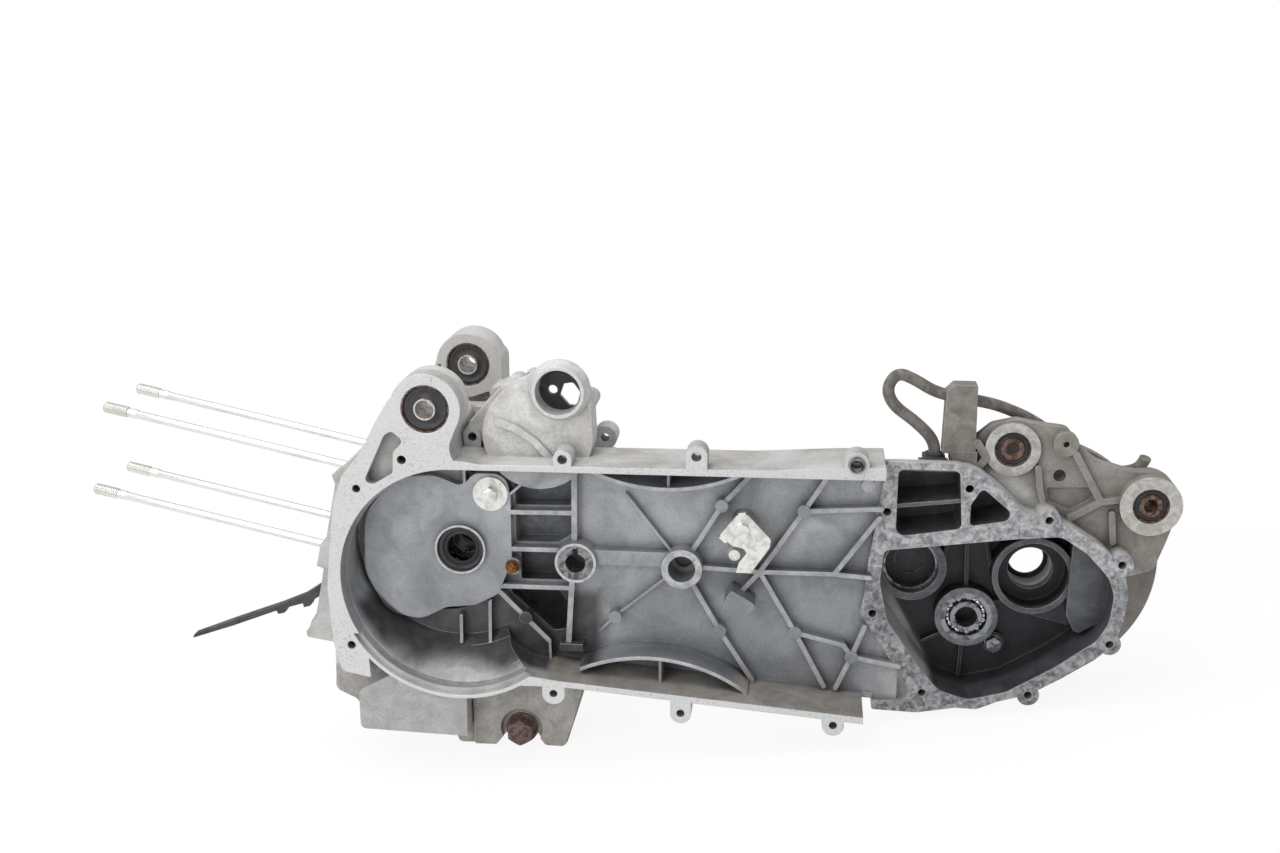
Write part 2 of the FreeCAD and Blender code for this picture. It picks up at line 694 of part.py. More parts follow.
    crank_plate = prism(crank_face_outline, crank_face, bay_back)
    collar = cylinder(0, 0, seal_r + seal_bore_wall, crank_face - seal_collar_height, bay_back)
    housing_end = ring_gear_face + 21
    housing = prism(
        [(ring_gear_x - 32, ring_gear_z + 18.6, 0), (starter_x - 18.2, starter_z + 9.5, 0),
         (starter_x + 20.2, starter_z - 3.5, 0), (ring_gear_x + 36.9, ring_gear_z - 2, 0),
         (ring_gear_x, ring_gear_z, 0)], ring_gear_face, housing_end)
    flange = prism(gear_outline, gear_face, gear_face + 8).cut(above_roof(0, roof_end))
    flange = fuse([flange] + [cylinder(x, z, cover_boss_r, gear_face, gear_face + 8) for x, z in gear_cover_bosses])
    casting = casting.fuse([
        crank_plate, collar, housing, flange,
        cylinder(tray_screw_x, tray_screw_z, 6, crank_face, bay_back),
        cylinder(ring_gear_x, ring_gear_z, ring_gear_r, ring_gear_face, housing_end),
        Part.makeCone(starter_rim_r, starter_boss_r, starter_taper, Vec(starter_x, starter_boss_face, starter_z),
                      Vec(0, 1, 0)),
        cylinder(starter_x, starter_z, starter_boss_r, starter_boss_face + starter_taper, ring_gear_face),
        slanted(starter_x, starter_z, starter_boss_r, ring_gear_face, starter_end_x, starter_end_z,
                starter_boss_r, joint_face),
        cylinder(52, 78, 31, bay_floor, joint_face),
        wall([(30, 94), (42, 90), (55, 81), (66, 69)], 5.0, ring_gear_face - 2.5, ring_gear_face + 1),
        wall([(34, 107), (20, 92), (9.6, 79)], 14.0, 37, joint_face),
        cylinder(34.4, 107.3, 4.6, 30, 41),
        wall([(9.6, 79), (9.6, 66)], 12.0, 36, joint_face),
        cylinder(273, 64.5, 4.2, cover_face + 2, bay_floor),
        bay_ribs(),
    ])

    rooms = [
        prism(sump_room, bay_back + 4, joint_face + 1),
        prism([(-68, -106, 3), (-68, -128, 3), (-3, -129, 3), (-3, -106, 3)], block_face + case_wall, joint_face + 1),
        cylinder(0, 0, crank_room_r, bearing_wall_face + bearing_wall, joint_face + 1),
        cylinder(-14, -3, 46, crank_face_inside, bearing_wall_face),
        along_cylinder(40, 0, joint_face, spigot_r, 80),
        prism([deck_corner(120, -82), deck_corner(120, -40.5), deck_corner(94, -40.5), deck_corner(60, -24),
               deck_corner(50, -26), deck_corner(58, -56), deck_corner(94, -69)], bay_back + 0.5, guide_end + 1.5),
        cylinder(guide_pivot_x, guide_pivot_z, guide_pin_r + guide_eye_wall + 3, bay_back + 0.5, guide_end + 1.5),
        cylinder(0, 0, seal_r, crank_face - seal_collar_height - 1, crank_face_inside + 1),
        cylinder(kick_x, kick_z, kick_bush_r, bay_boss_face - 1, bay_boss_face + kick_bush_length),
        cylinder(kick_x, kick_z, kick_relief_r, bay_boss_face, bay_floor + 10),
        cylinder(stub_x, stub_z, stub_bore_r, bay_boss_face - 1, bay_boss_face + stub_bore_depth),
        cylinder(stub_x, stub_z, stub_step_r, bay_boss_face, bay_boss_face + stub_bore_depth + 6),
    ]
    pockets = [
        [(37, 51, 2), (76, 51, 2), (76, 31, 2), (37, 30, 2)],
        [(37, 24.5, 2), (76, 25, 2), (75.5, 10, 2), (66, 4, 2), (37, 3.5, 2)],
        [(40, -2.5, 2), (64, -2.5, 2), (66, -12, 2), (73, -23.5, 2), (40, -24, 2)],
        [(30, -31, 2), (73, -30, 2), (71, -60, 3), (62, -61, 3)],
        [(6, 47, 2), (12, 56, 2), (12, 64, 1), (6, 64, 1)],
    ]
    for corners in pockets:
        rooms.append(prism(corners, rib_top - 1, bearing_wall_face + 2))
    casting = casting.cut(fuse(rooms))

    seat_end = bearing_wall_face + left_bearing_width
    casting = casting.fuse([
        ring(0, 0, left_bearing_r + bearing_boss_wall, left_bearing_r, bearing_wall_face, seat_end + 2),
        front_ribs().cut(fuse([
            cylinder(-14, -3, 48, crank_face, bearing_wall_face + 4),
            cylinder(kick_x, kick_z, kick_bush_r, bay_boss_face, bay_boss_face + kick_bush_length),
            cylinder(kick_x, kick_z, kick_relief_r, bay_boss_face, bearing_wall_face + 4),
        ])),
        arc_wall((85, 68), (142, 53), (200, 69), arc_wall_t, arc_wall_face, bay_floor + 1),
        arc_wall((84, -78), (131, -67.5), (198, -90), arc_wall_t, arc_wall_face, bay_floor + 1),
        wall([(144, 54), (144, 67.5)], thin_rib_t, arc_wall_face + 2, bay_floor + 1),
        wall([(139, -69), (139, -87)], thin_rib_t, arc_wall_face + 2, bay_floor + 1),
        cylinder(guide_pivot_x, guide_pivot_z, guide_pin_r + 3, guide_end + guide_side_clearance, guide_pin_end + 2),
        cylinder(guide_pivot_x, guide_pivot_z, guide_pin_r + 3, bay_back - 1, guide_y - guide_side_clearance),
    ])

    cutters = [
        prism(gear_room, gear_face - 1, gear_floor),
        prism([(294, 65, 4), (334, 65, 4), (337, 25, 4), (294, 18, 6)], gear_face - 1,
              gear_face + bay_pocket_depth).cut(above_roof(roof_wall + 2, roof_end)),
        prism([(349, 54, 3), (374, 33, 5), (342, 27, 3), (342, 42, 3)], gear_face - 1, gear_face + bay_pocket_depth),
        prism([(317, -60, 12), (344, -85, 10), (372, -82, 14), (398, -66, 10), (426, -46, 10), (430, -12, 14),
               (410, 12, 10), (372, 12, 10), (330, 4, 10), (312, -12, 10)], gear_back, brake_plate_face + 20),
        cylinder(0, 0, left_bearing_r, bearing_wall_face, seat_end),
        cylinder(0, 0, seal_r - 1, crank_face_inside, joint_face + 1),
        cylinder(401, 58, 4.2, bracket_face - 10, bracket_face + 20),
        prism([(392.5, 49.5, 2), (420, 50.5, 2), (423.5, 44, 2), (409, 34.5, 3), (395.5, 40.5, 2)], bracket_face - 10,
              bracket_face + bracket_t / 2),
        cylinder(403, 81, 2.1, bracket_face - 10, bracket_face + 20),
        cylinder(front_eye_x, front_eye_z, eye_bush_r, front_eye_face - 1, front_eye_end + 1),
        cylinder(rear_eye_x, rear_eye_z, eye_bush_r, rear_eye_face - 1, rear_eye_end + 1),
        cylinder(hanger_x, hanger_z, hanger_bush_r, cover_face - 1, joint_face + 1),
        prism([(-36, 91.6, 3), (-28.2, 85.2, 3), (-35.5, 77.2, 3), (-36.2, 62.8, 4), (-49.8, 54.7, 5),
               (-56, 56.5, 3), (-41, 88.6, 4)], cover_face - 1, cover_face + arm_pocket_depth),
        cylinder(-29.9, 72.2, 3, cover_face - 1, cover_face + 22),
        cylinder(-61.4, 51.3, tapped_r, cover_face - 1, cover_face + 18),
        cylinder(-70.3, -60.6, tapped_r + 0.2, cover_face - 1, cover_face + 20),
        cylinder(guard_washer_x, guard_washer_z, guard_bolt_r, crank_face - 10, crank_face + 12),
        cylinder(tray_screw_x, tray_screw_z, 2.5, crank_face - 10, crank_face + 14),
        cylinder(plate_screw_x, plate_screw_z, plate_screw_r, bay_floor - 30, bay_floor + 2),
        cylinder(stop_pin_x, stop_pin_z, stop_pin_r, bay_floor - 30, bay_floor + 2),
        cylinder(starter_x, starter_z, starter_bore_r, starter_boss_face - 1, starter_boss_face + 18),
        cylinder(ring_gear_x, ring_gear_z, ring_gear_r - housing_wall, ring_gear_face + housing_wall, bay_floor - 2),
        cylinder(52, 78, 31 - housing_wall, bay_floor - 3, joint_face - chamber_wall),
        slanted(starter_x, starter_z, starter_bore_r - 0.5, starter_boss_face + 16, starter_end_x + 0.5,
                starter_end_z + 1, starter_bore_r + 1, joint_face - chamber_wall),
        cylinder(57.7, 102.3, 3.3, joint_face - chamber_wall - 1, joint_face + 1),
        prism([(62.7, 98.6, 0.5), (65.5, 106.8, 1), (72, 108, 3), (77, 101, 3), (74.5, 91, 1), (69, 91.4, 0.5)],
              joint_face - chamber_wall - 1, joint_face + 1),
        cylinder(guide_pivot_x, guide_pivot_z, guide_pin_r, guide_pin_start, guide_pin_end),
        cylinder(drain_x, drain_z, drain_thread_r, sump_face - 10, sump_face + 20),
        hose_bar(hose_hole_r, 5, 10),
    ]
    for x, z, r in cover_lugs():
        cutters.append(cylinder(x, z, tapped_r if z < 0 else cover_hole_r, cover_face - 1, cover_face + lug_depth + 1))
    rear_lug = cover_lugs()[2]
    cutters.append(cylinder(rear_lug[0], rear_lug[1], rear_dowel_r, cover_face - 1,
                            cover_face + dowel_length - dowel_proud))
    for x, z in gear_cover_bosses:
        cutters.append(cylinder(x, z, tapped_r, gear_face - 1, gear_face + 18))
    for x, z in joining_bolts:
        cutters.append(cylinder(x, z, joining_bolt_r, joint_face - joining_thread - 2, joint_face + 1))
    cutters.append(cylinder(9.6, 79, joining_bolt_r, 30, joint_face + 1))
    for x, z, r, near in starter_lugs:
        cutters.append(cylinder(x, z, joining_bolt_r, near - 1, joint_face + 1))
    for up in stud_ups:
        for y in stud_depths:
            cutters.append(along_cylinder(deck_distance - stud_seat_depth, up, y, stud_root_r, 60))
    groove = ring(bay_x, bay_z, bay_r + lip_groove, bay_r, cover_face - 1, cover_face + lip_depth)
    cutters.append(groove.common(box(-75, 52, cover_face - 2, cover_face + 10, bay_z - 2 * bay_r, -52)))
    casting = casting.cut(fuse(cutters))

    bosses = [
        cylinder(axle_x, axle_z, axle_hub_r, gear_floor, axle_hub_end),
        cylinder(axle_x, axle_z - anchor_pin_drop, anchor_pin_r + 4, gear_floor, brake_plate_face + anchor_boss_height),
        ring(primary_x, primary_z, primary_boss_r, primary_bore_r, gear_floor - primary_boss_height, gear_floor + 1),
        ring(middle_x, middle_z, middle_boss_r, middle_bearing_r, middle_face, gear_floor + 1),
        cylinder(axle_x, axle_z, axle_boss_r, gear_floor - axle_boss_height, gear_floor + 1),
        prism([(383, -34, 0), (416, -28, 0), (417, -52, 2), (386, -44, 2)], gear_floor - 12, gear_floor + 1),
        prism([(404, 20, 0), (413, 12, 2), (412, -40, 4), (419, -54, 4), (436, -44, 0), (442, -18, 0), (437, 0, 0),
               (420, 13, 0)], gear_floor - 22, gear_floor + 1),
        wall([(344, 14), (346, -26)], 2.5, gear_floor - 9, gear_floor + 1),
        wall([(329, -22), (332, 12)], 2.5, gear_floor - 7, gear_floor + 1),
        wall([(356, 14), (362, -12)], 2.5, gear_floor - 7, gear_floor + 1),
        wall([(318, -69), (331, -62)], 2.0, gear_floor - 9, gear_floor + 1),
        wall([(344, -94), (345, -68)], 2.5, gear_floor - 8, gear_floor + 1),
        wall([(362, -38), (374, -36)], 2.5, gear_floor - 10, gear_floor + 1),
        wall([(294, 39), (336, 44)], 2.6, gear_face + 2, gear_face + bay_pocket_depth + 1),
        cylinder(gear_bolt_x, gear_bolt_z, 7.5, gear_floor - 6, gear_floor + 1),
    ]
    casting = casting.fuse(bosses)
    final_cuts = [
        cylinder(axle_x, axle_z, axle_seat_r, gear_floor - axle_boss_height - 1, gear_floor - axle_boss_height
                 + axle_seat_depth),
        cylinder(axle_x, axle_z, axle_bore_r, gear_floor - 20, axle_hub_end + 1),
        cylinder(axle_x, axle_z, axle_seal_r, axle_hub_end - axle_seal_width - 2, axle_hub_end + 1),
        cylinder(primary_x, primary_z, primary_bore_r, gear_floor - primary_boss_height - 1, gear_floor - 1),
        cylinder(primary_x, primary_z, 10, gear_floor - 2, gear_floor + 1.5),
        cylinder(middle_x, middle_z, middle_bearing_r, middle_face - 1, middle_face + middle_bearing_width + 0.5),
        cylinder(middle_x, middle_z, 12, middle_face, gear_floor + 2),
        cylinder(gear_bolt_x, gear_bolt_z, gear_bolt_r, gear_floor - 8, gear_floor + 4),
        cylinder(axle_x, axle_z - anchor_pin_drop, anchor_pin_root_r, gear_back, brake_plate_face + 20),
        box(415.5, 430, gear_floor - 19, gear_floor - 10, -40, 12),
    ]
    return casting.cut(fuse(final_cuts))


def right_crankcase():
    """Right half of the crankcase: crank room, sump, generator ring and the right hanger arm."""
    arm_end = hanger_right_face + hanger_right_width
    flange_end = right_joint + right_flange
    arm = prism(
        [(hanger_x - 21, hanger_z + 10, 6), (-40, 98, 10), (-58, 83, 8), (-80, 58, 4), (-60, 40, 0), (10, 50, 0),
         (13, 68, 0), (12, 84, 4), (12, 112, 8), (hanger_x + 20, hanger_z + 11, 4), (hanger_x, hanger_z, 0)],
        hanger_right_face, arm_end)
    parts = [
        prism(case_outline, right_joint, flange_end),
        prism(right_outline, right_joint, right_outside),
        arm,
        prism([(-56, 50, 0), (-46, 74, 6), (-30, 80, 6), (13, 80, 4), (14, 50, 0)], 112, hanger_right_face + 1),
        cylinder(hanger_x, hanger_z, hanger_r, hanger_right_face, arm_end),
        prism([(8, 50, 0), (8, 95.5, 3), (16, 98, 3), (34, 101, 3), (40, 94, 4), (42, 50, 0)], 104, right_outside),
        cylinder(0, 0, generator_r + generator_rim, right_outside - 1, generator_face),
    ]
    for x, z in joining_bolts:
        parts.append(cylinder(x, z, joining_lug_r, right_joint, joining_seat(z)))
    for k in range(generator_holes):
        angle = math.radians(360 / generator_holes * k + 15)
        x = (generator_r + generator_rim + 2) * math.cos(angle)
        z = (generator_r + generator_rim + 2) * math.sin(angle)
        parts.append(cylinder(x, z, 7, right_outside - 4, generator_face))
    casting = fuse(parts)
    rooms = fuse([
        prism(right_room, right_joint - 1, right_wall_face),
        cylinder(0, 0, crank_room_r, right_joint - 1, right_wall_face - 8),
        along_cylinder(40, 0, joint_face, spigot_r, 80),
    ])
    keep = fuse([cylinder(x, z, joining_lug_r, right_joint, right_outside) for x, z in joining_bolts])
    casting = casting.cut(rooms.cut(keep))
    cutters = [
        cylinder(0, 0, generator_r, right_outside, generator_face + 1),
        cylinder(hanger_x, hanger_z, hanger_bush_r, right_joint, arm_end + 1),
        prism([(-24, 87, 2), (-12, 82, 8), (3, 88, 3), (5, 80, 3), (-18, 77, 3)], hanger_right_face - 1,
              hanger_right_face + arm_pocket_depth),
        prism([(-38, 104, 1), (-33, 108, 1), (-33, 98, 1)], hanger_right_face - 1, arm_end + 1),
        cylinder(0, 0, right_bearing_r - 6, right_wall_face - 10, right_outside + 1),
    ]
    for k in range(generator_holes):
        angle = math.radians(360 / generator_holes * k + 15)
        x = (generator_r + generator_rim + 2) * math.cos(angle)
        z = (generator_r + generator_rim + 2) * math.sin(angle)
        cutters.append(cylinder(x, z, tapped_r, generator_face - 16, generator_face + 1))
    for x, z in joining_bolts:
        cutters.append(cylinder(x, z, joining_bolt_r + joining_clearance, right_joint - 1, joining_seat(z) + 1))
    for up in stud_ups:
        cutters.append(along_cylinder(deck_distance - stud_seat_depth, up, stud_depths[1], stud_root_r, 60))
    casting = casting.cut(fuse(cutters))
    seat = right_wall_face - right_bearing_width + 3
    casting = casting.fuse(ring(0, 0, right_bearing_r + bearing_boss_wall, right_bearing_r, seat - 2, right_wall_face))
    casting = casting.cut(cylinder(0, 0, right_bearing_r, seat - 3, seat + right_bearing_width))
    return casting.removeSplitter()


def gasket():
    """Paper gasket between the halves."""
    y0, y1 = joint_face, right_joint
    sheet = prism(case_outline, y0, y1)
    sheet = sheet.cut(fuse([
        prism(sump_room, y0 - 1, y1 + 1),
        cylinder(0, 0, crank_room_r, y0 - 1, y1 + 1),
        along_cylinder(40, 0, joint_face, spigot_r, 80),
        along_cylinder(deck_distance - stud_seat_depth, stud_ups[0], stud_depths[0], stud_root_r, 60),
    ] + [cylinder(x, z, joining_bolt_r + joining_clearance, y0 - 1, y1 + 1) for x, z in joining_bolts]))
    return max(sheet.Solids, key=lambda solid: solid.Volume)


def cylinder_stud(up, y):
    """One cylinder stud: threaded ends, a waist and a thin shank."""
    start = deck_distance - stud_seat_depth
    length = stud_tip_distance - start
    tip_start = length - stud_tip_thread
    seat = along_cylinder(start, up, y, stud_root_r, stud_seat_depth)
    shank = along_cylinder(start + stud_seat_depth, up, y, stud_shank_r, length - stud_seat_depth - 1)
    tip = along_cylinder(start + tip_start, up, y, stud_thread_r, stud_tip_thread - stud_chamfer)
    x, z = deck_point(stud_tip_distance - stud_chamfer, up)
    angle = math.radians(cylinder_tilt)
    end = Part.makeCone(stud_thread_r, stud_thread_r - stud_chamfer, stud_chamfer, Vec(x, y, z),
                        Vec(-math.cos(angle), 0, math.sin(angle)))
    neck = along_cylinder(start + tip_start - 7, up, y, stud_thread_r - 0.6, 4)
    return fuse([seat, shank, tip, end, neck]).removeSplitter()


def chain_guide():
    """Slipper blade for the timing chain, hanging out of its tunnel, with the eye that it swings on."""
    blade = prism(
        [(-62, -21, 2), (-100, -33, 6), (-119, -46, 10), (-136, -53.5, 20), (-171, -67, 40), (-203, -80, 0.5),
         (-204, -82.5, 0.5), (-173, -71.5, 40), (-140, -58.5, 0), (-138.5, -61, 0.5), (-133.5, -59.5, 0.5),
         (-133, -56, 0), (-120, -52, 0), (-119.5, -55, 0.5), (-114.5, -53.5, 0.5), (-113, -49.5, 2), (-98, -40, 6),
         (-62, -30, 2)], guide_y, guide_end)
    r = guide_pin_r + guide_pin_clearance
    eye = cylinder(guide_pivot_x, guide_pivot_z, r + guide_eye_wall, guide_y, guide_end)
    hole = cylinder(guide_pivot_x, guide_pivot_z, r, guide_y - 1, guide_end + 1)
    return blade.fuse(eye).cut(hole).removeSplitter()


def chain_guide_pin():
    """Shouldered pin that carries the chain guide."""
    return cylinder(guide_pivot_x, guide_pivot_z, guide_pin_r, guide_pin_start, guide_pin_end)


def bush(x, z, r, inner_r, bore_r, y0, y1, proud):
    """Rubber bush: outer steel sleeve, rubber and inner steel sleeve."""
    outer = ring(x, z, r, r - sleeve_t, y0, y1)
    rubber = ring(x, z, r - sleeve_t, inner_r, y0 + 1, y1 - 1)
    inner = ring(x, z, inner_r, bore_r, y0 - proud, y1 + proud)
    return outer, rubber, inner


def ball_bearing(x, z, r, bore, y0, width, balls, ball_r):
    """Outer race, cage with balls, and inner race of a deep-groove ball bearing."""
    pitch = (r + bore) / 2
    land = (r - bore) * 0.5
    outer_land = pitch + land * 0.34
    inner_land = pitch - land * 0.34
    middle = y0 + width / 2
    groove = Part.makeTorus(pitch, ball_r + 0.05, Vec(x, middle, z), Vec(0, 1, 0))
    outer = ring(x, z, r, outer_land, y0, y0 + width).cut(groove)
    inner = ring(x, z, inner_land, bore, y0, y0 + width).cut(groove)
    cage = ring(x, z, pitch + land * 0.16, pitch - land * 0.16, middle - width * cage_share, middle + width * cage_share)
    set_of_balls = []
    for k in range(balls):
        angle = 2 * math.pi * k / balls
        centre = Vec(x + pitch * math.cos(angle), middle, z + pitch * math.sin(angle))
        set_of_balls.append(Part.makeSphere(ball_r, centre))
    return outer, fuse([cage] + set_of_balls), inner


def kick_bush():
    """Steel bush with a key notch at its top."""
    y0 = bay_boss_face
    body = ring(kick_x, kick_z, kick_bush_r, kick_bush_bore_r, y0, y0 + kick_bush_length)
    half = kick_notch / 2
    notch = box(kick_x - half, kick_x + half, y0 - 1, y0 + kick_bush_length + 1, kick_z,
                kick_z + kick_bush_bore_r + kick_notch)
    return body.cut(notch)


def hex_bolt(x, z, flats, head_h, shank_r, seat_y, length, flange_r=0.0, flange_h=0.0):
    """Hexagon bolt whose head faces the left side and bears on the plane y = seat_y."""
    parts = [
        hexagon(x, z, flats, seat_y - flange_h - head_h, seat_y - flange_h),
        cylinder(x, z, shank_r, seat_y - 1, seat_y + length),
    ]
    if flange_h > 0:
        parts.append(cylinder(x, z, flange_r, seat_y - flange_h, seat_y))
    return fuse(parts).removeSplitter()


def joining_seat(z):
    """Depth that a joining screw's head bears on: the outer face of the hanger arm, or that of the case."""
    if z > hanger_z - 40:
        return hanger_right_face + hanger_right_width
    return right_outside


def case_bolts():
    """Screws that hold the halves together, entered from the right side."""
    bolts = []
    for x, z in joining_bolts:
        seat = joining_seat(z)
        head = hexagon(x, z, joining_head_flats, seat, seat + joining_head_h)
        washer = cylinder(x, z, joining_flange_r, seat, seat + joining_washer_h)
        shank = cylinder(x, z, joining_bolt_r, joint_face - joining_thread, seat + 1)
        bolts.append(fuse([head, washer, shank]).removeSplitter())
    return Part.makeCompound(bolts)


def stop_plate():
    """Zinc-plated sheet stop screwed on a boss in the belt bay, with two folded tabs."""
    y1 = bay_floor - plate_boss_height
    y0 = y1 - plate_t
    sheet = prism(
        [(189, 35, 1), (196, 36, 1), (212, 19, 3), (211, 13, 2), (199, -5, 0.5), (189, -5, 0.5), (191, 2, 1),
         (196, 9, 1), (194, 12, 1), (186, 14, 1), (178, 21, 1)], y0, y1)
    tab_a = prism([(190, 34, 0), (195, 34.7, 0), (195, 37.5, 0), (190, 36.8, 0)], y0, y1 + 4)
    tab_b = prism([(179.6, 21, 0), (184, 17, 0), (181.6, 15.4, 0), (177.2, 19.4, 0)], y0, y1 + 4)
    notch = cylinder(stop_pin_x, stop_pin_z, stop_pin_head_r + 0.4, y0 - 1, y1 + 1)
    hole = cylinder(plate_screw_x, plate_screw_z, plate_screw_r, y0 - 1, y1 + 1)
    return fuse([sheet, tab_a, tab_b]).cut(fuse([notch, hole])).removeSplitter()


def hose_points():
    """Route of the breather hose: grommet, loop, post, behind the rear bracket, free end."""
    return [
        (318.5, 60, 71.5), (318.5, 60, 79), (305, 61, 92), (290, 62, 102), (285, 62, 114), (292, 62, 125),
        (304, 62, 120), (317, 62, 112), (334, 62, 108.5), (350, 67, 105), (363, 75, 100), (383, 79, 91),
        (403, 80, 77), (422, 80, 62), (436, 80, 56), (449, 80, 55.5), (458, 79, 60), (459.5, 77, 66.5),
    ]


def hose_path(first, last):
    """Straight runs joined by tangent arcs, through a part of the hose's route."""
    points = [Vec(*p) for p in hose_points()][first:last]
    edges = []
    start = points[0]
    for before, here, after in zip(points[:-2], points[1:-1], points[2:]):
        a = before - here
        b = after - here
        shorter = min(a.Length, b.Length)
        half_turn = (math.pi - a.getAngle(b)) / 2
        a.normalize()
        b.normalize()
        reach = 0.45 * shorter
        radius = reach / math.tan(half_turn)
        middle = a + b
        middle.normalize()
        top = here + middle * (math.hypot(reach, radius) - radius)
        entry = here + a * reach
        leave = here + b * reach
        edges.append(Part.LineSegment(start, entry).toShape())
        edges.append(Part.Arc(entry, top, leave).toShape())
        start = leave
    edges.append(Part.LineSegment(start, points[-1]).toShape())
    return Part.Wire(edges)


def hose_bar(r, first, last):
    """Round bar along a part of the hose's route."""
    path = hose_path(first, last)
    start = path.Edges[0].valueAt(path.Edges[0].FirstParameter)
    direction = path.Edges[0].tangentAt(path.Edges[0].FirstParameter)
    profile = Part.Wire([Part.Circle(start, direction, r).toShape()])
    return path.makePipeShell([profile], True, True)


def breather_hose():
    """Rubber breather hose held by its grommet and the post."""
    count = len(hose_points())
    print("hose length", round(hose_path(0, count).Length, 1))
    return hose_bar(hose_r, 0, count)


def grommet():
    """Rubber grommet on top of the gear case, that the hose plugs into."""
    x, y, z = hose_points()[0]
    base = box(x - grommet_w / 2, x + grommet_w / 2, y - grommet_depth / 2, y + grommet_depth / 2,
               grommet_seat_z, grommet_seat_z + grommet_h)
    neck = Part.makeCylinder(grommet_neck_r, z - grommet_seat_z, Vec(x, y, grommet_seat_z), Vec(0, 0, 1))
    return base.fuse(neck).removeSplitter()


def brake_anchor_pin():
    """Anchor pin of the brake shoes, with a thinner root pressed into its boss."""
    z = axle_z - anchor_pin_drop
    neck_end = brake_plate_face + anchor_boss_height + anchor_pin_gap
    root = cylinder(axle_x, z, anchor_pin_root_r, gear_back, neck_end + 1)
    return root.fuse(cylinder(axle_x, z, anchor_pin_r, neck_end, gear_back + anchor_pin_length)).removeSplitter()


def export(name, shape):
    """Turn a piece into its standing place and write it."""
    placed = shape.copy()
    placed.rotate(Vec(0, 0, 0), Vec(0, 1, 0), standing_angle())
    placed.translate(Vec(0, -datum_y, 0))
    placed.exportStep("parts/" + name + ".step")
    solids = len(placed.Solids)
    print(name, solids, "solid", round(placed.Volume / 1000, 2), "cm3", "valid" if placed.isValid() else "INVALID")
    return placed


